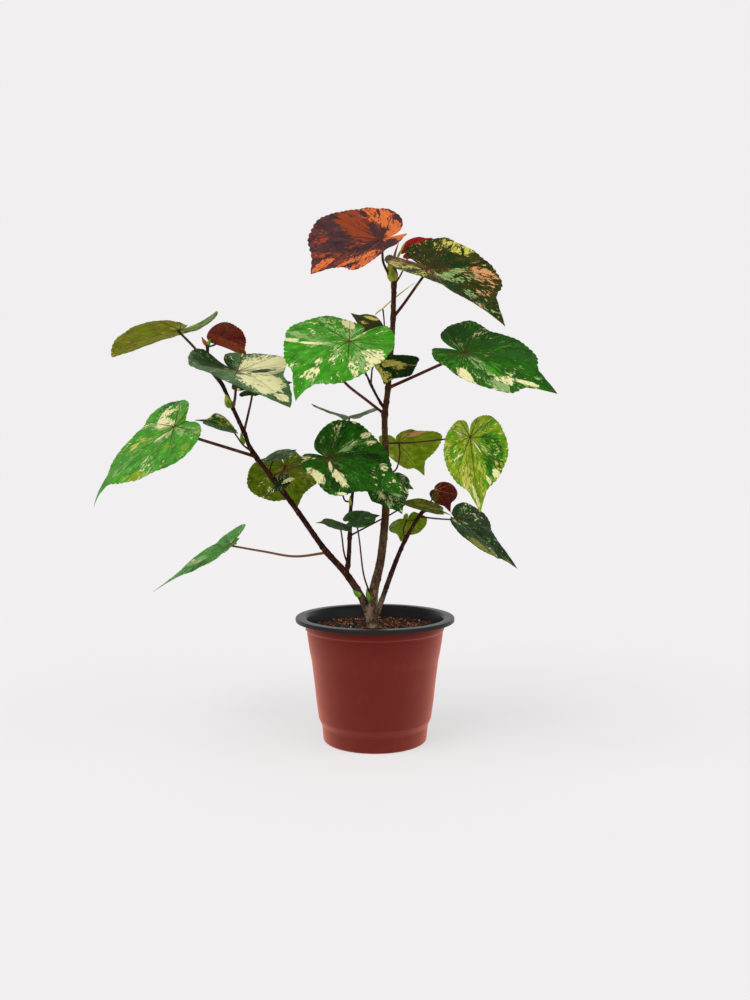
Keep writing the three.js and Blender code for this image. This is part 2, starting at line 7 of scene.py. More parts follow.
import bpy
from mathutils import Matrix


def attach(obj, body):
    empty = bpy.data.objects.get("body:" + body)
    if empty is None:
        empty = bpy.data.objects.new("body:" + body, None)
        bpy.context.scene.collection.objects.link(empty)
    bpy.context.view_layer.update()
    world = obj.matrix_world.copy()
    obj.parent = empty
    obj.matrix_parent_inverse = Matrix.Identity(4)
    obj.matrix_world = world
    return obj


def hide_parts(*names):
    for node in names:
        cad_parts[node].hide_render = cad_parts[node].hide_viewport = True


bl_info = {
    "name": "Potted Hibiscus Shrub",
    "version": (1, 0, 0),
    "blender": (4, 5, 0),
    "location": "View3D > Sidebar > Shrub",
    "description": "Builds a variegated hibiscus shrub in its nursery pot, on a plain studio stage",
    "category": "Object",
}

import math

import bpy
import numpy as np
from bpy.props import FloatProperty, FloatVectorProperty, IntProperty, PointerProperty
from bpy.types import Operator, Panel, PropertyGroup

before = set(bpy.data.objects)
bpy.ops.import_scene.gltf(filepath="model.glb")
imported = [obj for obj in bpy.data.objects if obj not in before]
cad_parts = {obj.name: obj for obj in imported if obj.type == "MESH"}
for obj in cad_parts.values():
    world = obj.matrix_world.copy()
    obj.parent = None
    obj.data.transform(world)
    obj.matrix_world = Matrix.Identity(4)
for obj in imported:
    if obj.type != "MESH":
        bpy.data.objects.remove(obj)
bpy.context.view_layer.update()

MM = 0.001
TURN = 2 * math.pi
TINY = 1e-12
BODY = "root"

# Sizes of the pot, in millimetres. The rim's lip hangs down by RIM_LIP, and its inner edge lies lower by
# RIM_STEP. The drain holes are cut between the two heights of DRAIN_CUT.
POT_HEIGHT = 139
RIM_RADIUS = 90
RIM_WIDTH = 10
RIM_LIP = 4.5
WALL = 1.2
RIM_THICKNESS = 2
LIP_THICKNESS = 1.8
RIM_ROUND = 0.8
RIM_STEP = 2.5
LINER_SKIN = 1
FLOOR = 2
SOIL_TOP = 126
DRAIN_HOLES = 8
DRAIN_RADIUS = 6
DRAIN_CIRCLE = 40
DRAIN_SIDES = 24
DRAIN_CUT = (-5, 8)
NECK_RADIUS = 79.8
GAP = 0.3

# Pale rings painted on the shell's steps as highlights: height and half width.
PAINTED_HIGHLIGHT_RINGS = ((125.2, 1), (17.2, 0.9))

# The pot's outer side, from the underside up to the rim: radius and height.
POT_OUTSIDE = [
    (56.8, 0), (58.4, 1.2), (60, 16.8), (60.4, 18.6), (63.6, 25.4), (66.2, 43.5), (68.2, 62), (71.6, 89),
    (74.2, 102), (75.6, 111), (76.8, 120), (77.2, 124), (78.4, 125.6), (79, 129),
]

# The shell's inner side, with the same taper.
POT_INSIDE = [(56, FLOOR), (58.7, 17.5), (62, 25.4), (66, 55), (70.2, 89), (75.5, 124)]

# Stems: a spline through the points, and a radius that falls from foot to tip by a power, with a flare at
# the foot. blunt is for a stem that another one carries on. colour is handed to place, and bracts are buds
# too.
STEMS = dict(
    trunk=dict(
        points=[[-3, 0, 126.3], [-3, 0, 146], [-1, 0, 170], [7, 0, 206], [12, 1, 258], [12.6, 1, 311],
            [11, 0, 362], [15, 0, 400], [20, -1, 466], [21.7, -2, 521]],
        radius=[5.8, 2.8],
        fall=1.8,
        flare=1.2,
        colour="bark",
        bracts=[
            dict(foot=[21.7, -2, 517], tip=[19, -3, 549], wide=12.5),
            dict(foot=[21, -2, 534], tip=[27, 2, 564], wide=3),
            dict(foot=[21.3, -2.5, 530], tip=[35, -7, 563], wide=2.6),
            dict(foot=[17, 0, 431], tip=[8, -2, 441], wide=2.2),
            dict(foot=[-5.5, -3, 155], tip=[-9, -6, 173], wide=5),
        ],
    ),
    left_bough=dict(
        points=[[-4, 0, 133], [-13.5, 0, 157], [-32.8, 0, 187], [-58.4, 0, 216], [-93, 0, 265],
            [-137.4, 0, 323], [-148, 0, 346], [-160, 0, 372]],
        radius=[4.7, 2.3],
        fall=1.8,
        blunt=True,
        colour="bark",
        bracts=[
            dict(foot=[-148.5, -2, 334], tip=[-151.5, -5, 347.5], wide=5),
            dict(foot=[-16, -4, 162], tip=[-25, -8, 170], wide=6),
        ],
    ),
    left_bough_tip=dict(
        points=[[-160.2, 0, 372.4], [-173.7, 0, 402], [-188, 0, 427], [-190.7, 0, 449]],
        radius=[2.2, 1.5],
        fall=1,
        colour="shoot",
        bracts=[
            dict(foot=[-163, -3.5, 375], tip=[-168.5, -7, 391], wide=9),
            dict(foot=[-161, -3, 376], tip=[-157.5, -5, 385], wide=4.5),
            dict(foot=[-190.5, 0, 446], tip=[-196.5, -2, 456], wide=4.5),
            dict(foot=[-190, 0, 446], tip=[-186, -1, 454], wide=4.2),
        ],
    ),
    inner_shoot=dict(
        points=[[-32.5, 0, 186.5], [-30, 0, 204], [-28.3, 0, 237], [-27, 0, 267], [-22.8, 10, 295]],
        radius=[2.6, 1.6],
        fall=1,
        colour="shoot",
        bracts=[dict(foot=[-27, 0, 262], tip=[-28, -4, 276], wide=3.2)],
    ),
    right_shoot=dict(
        points=[[-1, 0, 134], [8.6, 0, 160], [23.4, 0, 200], [34.2, 0, 225], [51.2, 0, 254],
            [60.5, 3, 260]],
        radius=[3.2, 1.7],
        fall=1,
        colour="shoot",
        bracts=[],
    ),
    upper_twig=dict(
        points=[[11.5, 0, 373], [1.8, 0, 389], [-6.1, 0, 405], [-9.5, 0, 413]],
        radius=[1.8, 1.1],
        fall=1,
        colour="shoot",
        bracts=[dict(foot=[-9.3, 0, 411], tip=[-11.5, 1, 420], wide=2.4)],
    ),
)

# Leaves: on is the stem, foot the height where the stalk leaves it, by the stalk's way,
# at the junction of stalk and blade, tip the blade's tip and face the way its upper side looks.
# Pairs are for the two halves. Angles are degrees and lengths are shares of the midrib, but for
# stalk, the stalk's radius in millimetres. colour, with leaf_ before it, is handed to place.
# edge is how far a half's outline stands from the usual one, at every EDGE_STEP degrees from the tip.
EDGE_STEP = 30
LEAVES = dict(
    crown_orange=dict(
        on="trunk", foot=516, by=[[10, -9, 537], [8, -24, 548]],
        at=[7, -35, 558], tip=[-68, -75, 513], face=[-0.1, -0.72, 0.69],
        edge=[[0.85, 0.97, 0.72, 0.68, 0.83, 1.15], [0.95, 0.92, 0.93, 1.16, 1.45, 0.75]],
        fold=[8, 13], body=1.15, lobes=[0.8, 0.8], width=[0.6, 1], shear=[0.55, 0.1],
        stalk=1.6, colour="orange",
    ),
    crown_right=dict(
        on="trunk", foot=478, by=[[33, -8, 493], [53, -26, 519]],
        at=[59, -35, 527], tip=[137, -80, 457], face=[0.35, -0.55, 0.75],
        edge=[[1.03, 0.9, 0.92, 1.12, 0.95, 1], [0.82, 0.9, 1.15, 1.1, 1, 1]],
        fold=[22, 9], droop=25, body=0.93, lobes=[1.1, 0.8], stalk=1.8, colour="dark",
    ),
    crown_red=dict(
        on="trunk", foot=514, by=[[31, 14, 532]],
        at=[41, 28, 561], tip=[67, 28, 575], face=[0, -0.8, 0.6],
        width=0.8, colour="red",
    ),
    crown_edge=dict(
        on="trunk", foot=428, by=[[10, 15, 443], [11, 42, 475]],
        at=[8, 55, 496], tip=[48, 60, 529], face=[-0.66, -0.12, 0.75],
        ripple=0.01, droop=4, lobes=0.3, colour="olive",
    ),
    upper_front=dict(
        on="trunk", foot=368, by=[[-10, -30, 383], [-30, -68, 397], [-38, -84, 409], [-35, -88, 424]],
        at=[-27, -85, 441], tip=[-79, -130, 376], face=[-0.25, -0.75, 0.6],
        edge=[[1.1, 0.92, 0.88, 0.92, 1.08, 1.3], [0.97, 1, 1.28, 1.3, 1, 1]],
        droop=15, hook=60, stalk=1.7, colour="green",
    ),
    upper_back=dict(
        on="trunk", foot=447, by=[[8, 38, 457]],
        at=[-7, 70, 472], tip=[-30, 105, 499], face=[0.1, -0.65, 1],
        edge=[[0.5, 0.5, 0.6, 0.8, 1, 1], [1.2, 0.95, 0.85, 0.85, 1, 1]],
        width=0.85, colour="olive",
    ),
    upper_folded=dict(
        on="upper_twig", foot=402, by=[[-4, -7, 410], [-2, -13, 421]],
        at=[7, -15, 426], tip=[10, -28, 400], face=[0.2, -0.9, 0.3],
        edge=[[1.03, 0.85, 0.94, 1.25, 1, 1], [0.75, 0.8, 0.5, 0.6, 0.6, 0.6]],
        width=[2.6, 0.6], colour="olive",
    ),
    right_upper=dict(
        on="trunk", foot=398, by=[[42, -16, 409], [70, -42, 420]],
        at=[96, -60, 432], tip=[189, -95, 385], face=[0.15, -0.6, 0.78],
        edge=[[0.99, 0.9, 0.85, 1.45, 1.25, 0.75], [1.08, 0.92, 0.64, 0.8, 0.9, 1.1]],
        lobes=0.8, body=0.95, width=[1.18, 1], stalk=1.9, colour="green",
    ),
    middle_back=dict(
        on="inner_shoot", foot=268, by=[[-37, 18, 276], [-38, 52, 336]],
        at=[-30, 60, 367], tip=[-39, 128, 365], face=[0, 0.42, 1],
        edge=[[1, 1, 1, 1, 1, 1], [0.85, 0.85, 0.85, 0.85, 0.85, 1]],
        fold=[8, 15], cup=20, width=[1.15, 1], colour="pale",
    ),
    middle_front=dict(
        on="left_bough", foot=297, by=[[-103, -18, 304], [-81, -55, 310]],
        at=[-49, -75, 319], tip=[35, -98, 280], face=[0.1, -0.75, 0.65],
        edge=[[0.92, 0.9, 1.07, 1.3, 0.93, 0.67], [0.83, 0.9, 0.62, 0.85, 1.05, 1.3]],
        lobes=[0.7, 0.6], width=[1, 0.9], stalk=1.2, colour="dark",
    ),
    middle_right=dict(
        on="trunk", foot=300, by=[[24, 14, 305], [29, 40, 321]],
        at=[28, 60, 337], tip=[61, 92, 296], face=[-0.1, 0.8, 0.5],
        edge=[[1.42, 1.35, 1, 1, 1, 1], [1.07, 1.12, 0.72, 0.87, 1, 1]],
        fold=[50, -5], body=0.92, lobes=0.5, width=[1, 1.3], colour="olive",
    ),
    right_hanging=dict(
        on="trunk", foot=335, by=[[45, -22, 336], [77, -58, 339]],
        at=[100, -80, 341], tip=[109, -95, 262], face=[-0.26, -0.95, 0.08],
        edge=[[0.97, 0.98, 0.87, 0.92, 0.78, 0.42], [0.96, 0.97, 0.86, 0.83, 0.83, 0.77]],
        fold=25, lobes=0.7, width=[0.95, 0.65], colour="olive",
    ),
    middle_drooping=dict(
        on="trunk", foot=268, by=[[11, -25, 272]],
        at=[9, -52, 286], tip=[29, -68, 259], face=[0.1, -0.6, 0.8],
        edge=[[1, 1, 1, 1.4, 1.2, 1], [1, 0.9, 0.85, 1, 1, 1]],
        waves=7, ripple=0.05, droop=40, lobes=0.5, width=1.1, colour="dark",
    ),
    middle_cream=dict(
        on="trunk", foot=284, by=[[15, -12, 288]],
        at=[18, -22, 293], tip=[43, -30, 284], face=[0, -0.6, 0.8],
        colour="cream",
    ),
    right_olive=dict(
        on="inner_shoot", foot=230, by=[[-10, -14, 241], [21, -24, 258]],
        at=[32, -26, 268], tip=[84, -32, 255], face=[0.25, 0.3, 0.92],
        edge=[[1.3, 1.35, 0.5, 0.3, 0.3, 0.3], [1.22, 0.92, 0.4, 0.3, 0.3, 0.3]],
        fold=5, lobes=0.2, width=[0.6, 0.7], colour="olive",
    ),
    right_red=dict(
        on="right_shoot", foot=259.5, by=[[66, 30, 269]],
        at=[72, 55, 280], tip=[90, 52, 253], face=[0, -0.9, 0.4],
        edge=[[1.15, 0.95, 0.75, 0.62, 0.4, 0.25], [1, 1.15, 1, 0.3, 0.3, 0.3]],
        body=0.9, lobes=[1, 0.6], width=[1.35, 0.5], colour="red",
    ),
    right_dark=dict(
        on="right_shoot", foot=252, by=[[67, -3, 250], [83, -5, 249]],
        at=[91, -5, 250], tip=[161, -5, 193], face=[0.6, -0.3, 0.74],
        edge=[[0.8, 1, 0.8, 0.42, 0.3, 0.3], [1, 1.05, 0.6, 0.35, 0.3, 0.3]],
        fold=[10, 0], droop=12, lobes=0.5, width=[1, 0.75], colour="dark",
    ),
    right_small=dict(
        on="right_shoot", foot=225, by=[[33, 25, 235]],
        at=[38, 45, 245], tip=[31, 66, 217], face=[0, 0.7, 0.7],
        edge=[[1.1, 0.7, 0.35, 0.3, 0.6, 1.1], [1.05, 0.98, 1, 1.15, 1.15, 1.4]],
        body=0.9, width=1.25, colour="pale",
    ),
    low_left=dict(
        on="inner_shoot", foot=197, by=[[-35, -8, 212], [-37, -15, 230]],
        at=[-38, -20, 243], tip=[-66, -30, 247], face=[-0.1, -0.3, 0.95],
        colour="green",
    ),
    low_right=dict(
        on="trunk", foot=157, by=[[-12.5, -14, 187], [-17.5, -17, 227]],
        at=[-22, -24, 250], tip=[6, -12, 254], face=[-0.1, -0.47, 0.88],
        colour="green",
    ),
    left_top=dict(
        on="left_bough_tip", foot=401, by=[[-194, 14, 425], [-210, 30, 446]],
        at=[-231, 45, 470], tip=[-313, 50, 438], face=[-0.35, 0.13, 0.93],
        edge=[[0.85, 0.76, 0.45, 0.42, 0.46, 0.46], [0.78, 0.5, 0.31, 0.54, 0.85, 0.92]],
        fold=[13, 4], hook=25, droop=10, body=1.3, lobe=75, lobes=[0.5, 1.2], width=[0.7, 1],
        stalk=1.8, colour="olive",
    ),
    left_red=dict(
        on="left_bough_tip", foot=445, by=[[-188, 5, 446]],
        at=[-183, 8, 449], tip=[-143, 2, 430], face=[0.3, -0.45, 0.85],
        edge=[[1.05, 1.1, 1.1, 1.05, 0.8, 0.6], [0.95, 0.85, 0.85, 0.55, 0.35, 0.3]],
        fold=[45, 48], colour="red",
    ),
    left_grey=dict(
        on="left_bough_tip", foot=376, by=[[-156, -22, 384], [-151, -45, 398]],
        at=[-148, -55, 412], tip=[-85, -128, 369], face=[0.29, -0.29, 0.91],
        edge=[[0.62, 0.63, 0.85, 1, 0.85, 1], [0.92, 0.95, 0.8, 0.83, 1, 1.25]],
        fold=[18, 2], droop=25, body=1.15, lobe=60, lobes=1.1, stalk=1.7, colour="pale",
    ),
    left_under=dict(
        on="left_bough", foot=348, by=[[-147, 20, 368], [-145, 38, 389]],
        at=[-147, 50, 401], tip=[-100, 72, 410], face=[0.1, -0.6, 0.8],
        edge=[[1, 1, 1, 1, 1, 1], [0.95, 0.6, 0.5, 0.55, 0.8, 0.8]],
        stalk=1.5, colour="dark",
    ),
    left_inner=dict(
        on="left_bough", foot=325, by=[[-148, -12, 333], [-153, -24, 342]],
        at=[-155, -30, 348], tip=[-197, -45, 360], face=[0, -0.34, 0.94],
        edge=[[1.25, 1.15, 0.4, 0.4, 0.4, 0.4], [0.95, 1.1, 0.4, 0.3, 0.3, 0.3]],
        fold=8, lobes=0.4, colour="dark",
    ),
    left_outer=dict(
        on="left_bough", foot=320, by=[[-167, -28, 331], [-192, -56, 340]],
        at=[-212, -75, 352], tip=[-294, -85, 267], face=[-0.58, -0.5, 0.64],
        edge=[[1, 1.1, 1.38, 0.82, 0.35, 0.3], [0.92, 0.83, 1.3, 0.95, 0.45, 0.3]],
        droop=8, hook=35, sweep=0.05, lobes=0.8, width=0.85, stalk=1.9, colour="green",
    ),
    left_flat=dict(
        on="left_bough", foot=299, by=[[-120, 7, 306]],
        at=[-117, 10, 317], tip=[-90, 20, 328], face=[-0.25, -0.25, 0.93],
        edge=[[1.3, 1.5, 1.2, 0.95, 1, 1], [1.3, 1.4, 0.6, 0.4, 0.5, 0.5]],
        colour="pale",
    ),
    left_back=dict(
        on="left_bough", foot=292, by=[[-109, 24, 299]],
        at=[-108, 58, 309], tip=[-96, 100, 258], face=[0, 0.7, 0.7],
        edge=[[1.22, 1.28, 1.05, 0.9, 0.65, 0.55], [0.92, 1, 0.95, 0.72, 0.95, 0.85]],
        body=1.05, colour="olive",
    ),
    left_small=dict(
        on="left_bough", foot=278, by=[[-104, -10, 282]],
        at=[-107, -19, 290], tip=[-88, -26, 296], face=[0.2, -0.8, 0.6],
        width=0.8, colour="dark",
    ),
    left_low=dict(
        on="left_bough", foot=211, by=[[-93, 25, 204], [-133, 52, 207]],
        at=[-175, 75, 214], tip=[-274, 90, 153], face=[-0.52, -0.14, 0.85],
        edge=[[0.78, 0.58, 0.6, 0.3, 0.3, 0.3], [1.08, 0.78, 1.45, 0.35, 0.3, 0.3]],
        fold=[-3, 4], droop=5, body=0.95, lobe=30, lobes=0.8, width=0.8, stalk=1.5, colour="green",
    ),
)

LEAF_USUAL = dict(
    width=1, fold=0, cup=0, shear=0, lobes=1, body=1,
    droop=20, hook=0, sweep=0, lobe=10, ripple=0.012, waves=5, stalk=1.05,
    edge=[[1, 1], [1, 1]],
)

# Finishes of the bracts of each stem, in the order of their list: green 0, yellow 1, brown 2 and dark 3.
BRACT_LOOKS = dict(
    trunk=[(1, 2), (2,), (1,), (3,), (0,)],
    left_bough=[(0,), (0,)],
    left_bough_tip=[(0,), (0,), (2,), (0,)],
    inner_shoot=[(0,)],
    upper_twig=[(3,)],
)

# Leaves whose stalks aren't red brown.
STALK_LOOKS = dict(
    left_low="stalk_ochre", left_top="stalk_olive", crown_orange="stalk_olive", upper_back="stalk_olive"
)

# Colours of each blade: the ground of the upper side, of the underside where it differs, and layers. A
# layer has a colour, the part of the blade that its flecks cover, and spots: centre, turn in degrees,
# half length and half width in the blade's plane, with the midrib as 1, and the part that it covers.
LEAF_LOOKS = dict(
    crown_orange=dict(ground="plum", under="orange", layers=[
        ("rust", 0.15, []),
        ("ember", 0.02, [(0.21, -0.12, -89, 0.32, 0.14, 0.22)]),
        ("rust", 0, [(0.05, -0.35, 73, 0.32, 0.24, 0.85), (0.09, -0.56, -64, 0.09, 0.1, 0.6)]),
        ("orange", 0, [(-0.33, -0.31, -81, 0.25, 0.18, 0.85), (-0.2, 0.06, -24, 0.19, 0.17, 0.95),
            (0.36, 0.41, -17, 0.31, 0.23, 0.8), (0.83, 0, 5, 0.17, 0.07, 0.95),
            (-0.17, -0.56, -35, 0.12, 0.02, 0.7), (-0.04, -0.44, -90, 0.08, 0.09, 0.2)]),
        ("plum", 0, [(-0.15, -0.5, 73, 0.09, 0.04, 0.85), (0.03, -0.61, -87, 0.03, 0.04, 0.85),
            (-0.33, -0.43, 60, 0.08, 0.02, 0.85), (-0.48, -0.28, 81, 0.07, 0.06, 0.95),
            (-0.07, -0.15, 76, 0.16, 0.1, 0.65), (-0.12, 0.14, 4, 0.09, 0.09, 0.85),
            (0.32, 0.19, -17, 0.2, 0.14, 0.5), (0.48, 0.44, -28, 0.13, 0.06, 0.5)]),
    ]),
    crown_right=dict(ground="moss_dark", under="moss", layers=[
        ("dark", 0.45, [(-0.22, -0.05, 81, 0.28, 0.2, 0.3)]),
        ("brown", 0, [(-0.12, -0.27, 8, 0.15, 0.29, 0.75), (-0.2, 0.08, -18, 0.1, 0.13, 0.4)]),
        ("pale", 0, [(0.21, 0.04, 76, 0.24, 0.06, 0.75), (0.34, 0.07, 65, 0.24, 0.05, 0.6),
            (0.67, 0, 12, 0.24, 0.13, 0.5)]),
        ("yellow", 0.05, [(-0.02, 0.44, 2, 0.18, 0.1, 0.75), (0, -0.5, -29, 0.19, 0.11, 0.55),
            (0.12, -0.38, -80, 0.22, 0.14, 0.55), (0.28, 0.4, 1, 0.1, 0.04, 0.4),
            (-0.16, 0.34, -28, 0.12, 0.06, 0.4)]),
        ("pink", 0.08, [(0.44, 0.31, 17, 0.16, 0.1, 0.45), (0.61, 0.11, 44, 0.12, 0.05, 0.45),
            (0.74, -0.04, 46, 0.17, 0.06, 0.4), (0.56, 0.27, -19, 0.13, 0.06, 0.3)]),
        ("olive", 0, [(0.58, -0.23, 35, 0.24, 0.02, 0.85), (0.87, -0.06, 22, 0.11, 0.01, 0.6)]),
        ("dark", 0, [(0.02, 0.27, 12, 0.04, 0.07, 0.95), (0.09, 0.41, -44, 0.09, 0.02, 0.8),
            (0.18, 0.24, 53, 0.1, 0.05, 0.85), (0.38, -0.16, -89, 0.24, 0.1, 0.7)]),
    ]),
    crown_red=dict(ground="red", layers=[
        ("orange", 0, [(0.23, -0.05, -25, 0.31, 0.2, 0.8)]),
    ]),
    crown_edge=dict(ground="yellow", layers=[
        ("brown", 0.2, [(0.94, -0.03, 48, 0.04, 0.04, 0.5)]),
    ]),
    upper_front=dict(ground="green", layers=[
        ("pale", 0.09, [(-0.25, -0.54, 65, 0.1, 0.04, 0.85), (0.17, -0.51, 82, 0.15, 0.09, 0.6),
            (0.18, -0.19, -80, 0.21, 0.04, 0.7), (-0.18, -0.1, 16, 0.15, 0.05, 0.65),
            (0.25, 0.36, 88, 0.18, 0.16, 0.6)]),
        ("cream", 0.1, [(-0.32, -0.25, 58, 0.14, 0.06, 0.9), (0.31, -0.51, -74, 0.09, 0.05, 0.95),
            (0.26, -0.31, -63, 0.15, 0.03, 0.8), (0.02, -0.48, 65, 0.11, 0.03, 0.75),
            (0.68, 0.05, -30, 0.08, 0.08, 0.85), (0.5, 0, 19, 0.09, 0.04, 0.5),
            (0.45, 0.39, 51, 0.14, 0.04, 0.8), (0.08, 0.37, -74, 0.14, 0.08, 0.75),
            (0.18, 0.46, 73, 0.11, 0.09, 0.65), (0.34, 0.5, -9, 0.07, 0.04, 0.5),
            (0.66, -0.2, 24, 0.09, 0.05, 0.25), (0.56, -0.32, -17, 0.06, 0.04, 0.3)]),
    ]),
    upper_back=dict(ground="moss_dark", layers=[
        ("yellow", 0, [(0.5, -0.37, 41, 0.23, 0.1, 0.75), (0.84, -0.17, 66, 0.21, 0.02, 0.5),
            (0.35, -0.04, 41, 0.14, 0.09, 0.5)]),
    ]),
    upper_folded=dict(ground="dark", layers=[
        ("yellow", 0.12, [(0.52, -0.14, 32, 0.43, 0.22, 0.95), (0.11, 0.17, -58, 0.2, 0.28, 0.85)]),
        ("dark", 0, [(0.32, 0.12, -46, 0.2, 0.08, 0.6), (-0.19, 0.35, -15, 0.19, 0.1, 0.8)]),
    ]),
    right_upper=dict(ground="green_dark", layers=[
        ("pale", 0.01, [(0.26, -0.16, -29, 0.22, 0.07, 0.85), (0.51, -0.36, -12, 0.15, 0.1, 0.85),
            (0.76, 0.05, 15, 0.07, 0.03, 0.5), (0.53, 0.05, 19, 0.09, 0.05, 0.3)]),
        ("cream", 0.02, [(0.2, -0.41, -37, 0.16, 0.05, 0.9), (0.34, -0.5, -16, 0.02, 0.02, 0.6),
            (0.52, -0.22, 23, 0.11, 0.08, 0.8), (0.7, -0.1, 24, 0.14, 0.03, 0.75),
            (0.55, -0.43, 47, 0.07, 0.02, 0.6), (-0.16, 0.5, -31, 0.09, 0.03, 0.2)]),
        ("green", 0.12, [(0.36, -0.16, -20, 0.17, 0.04, 0.5)]),
    ]),
    middle_back=dict(ground="grey", layers=[
        ("dark", 0.12, [(-0.23, 0.39, 32, 0.15, 0.1, 0.75)]),
        ("brown", 0, [(-0.05, -0.11, -30, 0.19, 0.12, 0.5)]),
        ("yellow", 0.1, [(-0.1, 0.51, 79, 0.05, 0.02, 0.5)]),
    ]),
    middle_front=dict(ground="green_dark", layers=[
        ("dark", 0.3, [(0.42, 0.24, 1, 0.19, 0.13, 0.5), (0.25, 0.01, 0, 0.16, 0.08, 0.5)]),
        ("pale", 0.03, [(0.11, 0.25, 64, 0.18, 0.07, 0.5), (-0.22, 0.23, -81, 0.1, 0.03, 0.4),
            (-0.18, 0.4, -29, 0.09, 0.06, 0.2), (0.3, 0.51, -16, 0.11, 0.05, 0.3),
            (0.27, 0.4, 52, 0.13, 0.03, 0.4)]),
        ("cream", 0.04, [(0.2, 0.5, 60, 0.08, 0.05, 0.95), (0.13, 0.29, 73, 0.09, 0.02, 0.6),
            (0.3, 0.44, 49, 0.09, 0.06, 0.45), (0.01, -0.33, -27, 0.16, 0.07, 1),
            (0.09, -0.13, -56, 0.1, 0.02, 0.85), (0.27, -0.25, -38, 0.15, 0.07, 0.8),
            (0.38, -0.45, 33, 0.08, 0.03, 0.6), (0.59, 0.17, -17, 0.07, 0.05, 0.6),
            (0.63, 0.06, 16, 0.13, 0.03, 0.3), (-0.22, -0.15, 73, 0.07, 0.04, 0.3),
            (-0.03, 0.5, -13, 0.13, 0.06, 0.15), (-0.01, 0.61, -28, 0.03, 0.02, 0.7)]),
    ]),
    middle_right=dict(ground="moss", under="lime", veins="stalk", layers=[
        ("pink", 0, [(-0.01, -0.28, -61, 0.22, 0.06, 0.7), (0.15, -0.51, -39, 0.09, 0.02, 0.5)]),
        ("olive", 0.12, [(0.6, 0.41, -20, 0.24, 0.2, 0.5)]),
        ("yellow", 0.04, [(0.51, 0.6, -33, 0.08, 0.09, 0.5)]),
    ]),
    right_hanging=dict(ground="lime", layers=[
        ("yellow", 0.25, [(0.36, -0.3, 52, 0.25, 0.16, 0.3)]),
        ("green", 0.2, [(0.25, 0.27, 11, 0.44, 0.24, 0.5), (0.26, -0.26, -81, 0.28, 0.12, 0.3)]),
        ("green_dark", 0.1, [(0.32, 0.31, 6, 0.35, 0.2, 0.55), (0.1, -0.21, 56, 0.26, 0.15, 0.25)]),
        ("yellow", 0.1, []),
        ("cream", 0.06, [(0.56, 0.35, 45, 0.07, 0.05, 0.85), (0.13, 0.08, 29, 0.13, 0.01, 0.95),
            (0.26, -0.27, -68, 0.12, 0.01, 0.85), (0.8, -0.03, 17, 0.17, 0.04, 0.8),
            (-0.06, -0.19, 75, 0.18, 0.03, 0.45), (0.61, 0.21, 19, 0.07, 0.03, 0.6),
            (0.24, -0.54, -2, 0.1, 0.01, 0.4)]),
    ]),
    middle_drooping=dict(ground="green_dark", layers=[
        ("dark", 0.4, [(-0.03, 0.41, 17, 0.29, 0.19, 0.85)]),
        ("pale", 0.1, [(0.59, -0.18, 46, 0.17, 0.12, 0.6), (0.37, 0.17, 33, 0.21, 0.1, 0.6)]),
        ("cream", 0.1, [(-0.18, 0.45, 53, 0.14, 0.04, 0.85), (0.38, 0.48, 31, 0.11, 0.06, 0.7),
            (0.21, -0.21, -8, 0.18, 0.08, 0.7), (0.18, 0.34, 14, 0.31, 0.03, 0.6)]),
    ]),
    middle_cream=dict(ground="green_dark", layers=[
        ("cream", 0.25, [(-0.09, -0.55, -23, 0.12, 0.07, 0.7), (0.07, -0.61, -9, 0.05, 0.07, 0.5)]),
    ]),
    right_olive=dict(ground="moss", under="moss", veins="brown", layers=[
        ("pale", 0.04, [(0.54, 0.4, -17, 0.31, 0.16, 0.4)]),
        ("olive", 0.3, [(0.43, -0.24, 7, 0.36, 0.4, 0.4)]),
    ]),
    right_red=dict(ground="red_dark", veins="pink", layers=[
        ("moss", 0, [(0.19, -0.3, -73, 0.36, 0.17, 0.75)]),
    ]),
    right_dark=dict(ground="dark", layers=[
        ("green_dark", 0.3, [(0.29, -0.05, 28, 0.27, 0.37, 0.4)]),
        ("pale", 0.05, [(0.04, 0.28, 59, 0.19, 0.07, 0.5), (0.02, -0.15, 45, 0.09, 0.08, 0.4)]),
        ("cream", 0.04, [(0.26, -0.49, -3, 0.15, 0.09, 0.3), (0.04, 0.47, 48, 0.11, 0.03, 0.3)]),
        ("olive", 0, [(0.47, -0.4, 29, 0.27, 0.15, 0.8), (0.81, -0.05, 15, 0.14, 0.06, 0.7)]),
    ]),
    right_small=dict(ground="moss", under="lime", veins="stalk", layers=[
        ("pale", 0.1, [(0.29, 0.31, 31, 0.16, 0.08, 0.7)]),
        ("green_dark", 0.15, [(-0.07, -0.16, -37, 0.27, 0.18, 0.5)]),
    ]),
    low_left=dict(ground="grey", layers=[
        ("moss", 0.3, [(0.68, -0.16, 41, 0.33, 0.15, 0.5)]),
    ]),
    low_right=dict(ground="grey", layers=[
        ("green_dark", 0.35, [(0.03, 0.26, 17, 0.38, 0.27, 0.6)]),
        ("pale", 0.06, [(0.39, -0.05, -36, 0.22, 0.15, 0.3)]),
    ]),
    left_top=dict(ground="moss", under="olive", veins="brown", layers=[
        ("grey", 0, [(-0.3, -0.06, 33, 0.36, 0.28, 1)]),
        ("pale", 0, [(-0.3, -0.06, 33, 0.36, 0.28, 0.6)]),
        ("yellow", 0.08, [(-0.07, 0.06, 25, 0.22, 0.08, 0.6)]),
        ("brown", 0.08, [(-0.07, 0.21, 58, 0.11, 0.03, 0.4)]),
        ("lime", 0.3, [(0.49, 0.21, -5, 0.44, 0.29, 0.3)]),
    ]),
    left_red=dict(ground="red_dark", under="rust", veins="brown", layers=[
        ("rust", 0, [(0.37, -0.15, 44, 0.54, 0.24, 0.9)]),
        ("brown", 0.15, [(0.6, 0.03, 17, 0.27, 0.12, 0.5)]),
    ]),
    # The grey ground of this blade paints the pale sheen of glancing light on its front half.
    left_grey=dict(ground="grey", layers=[
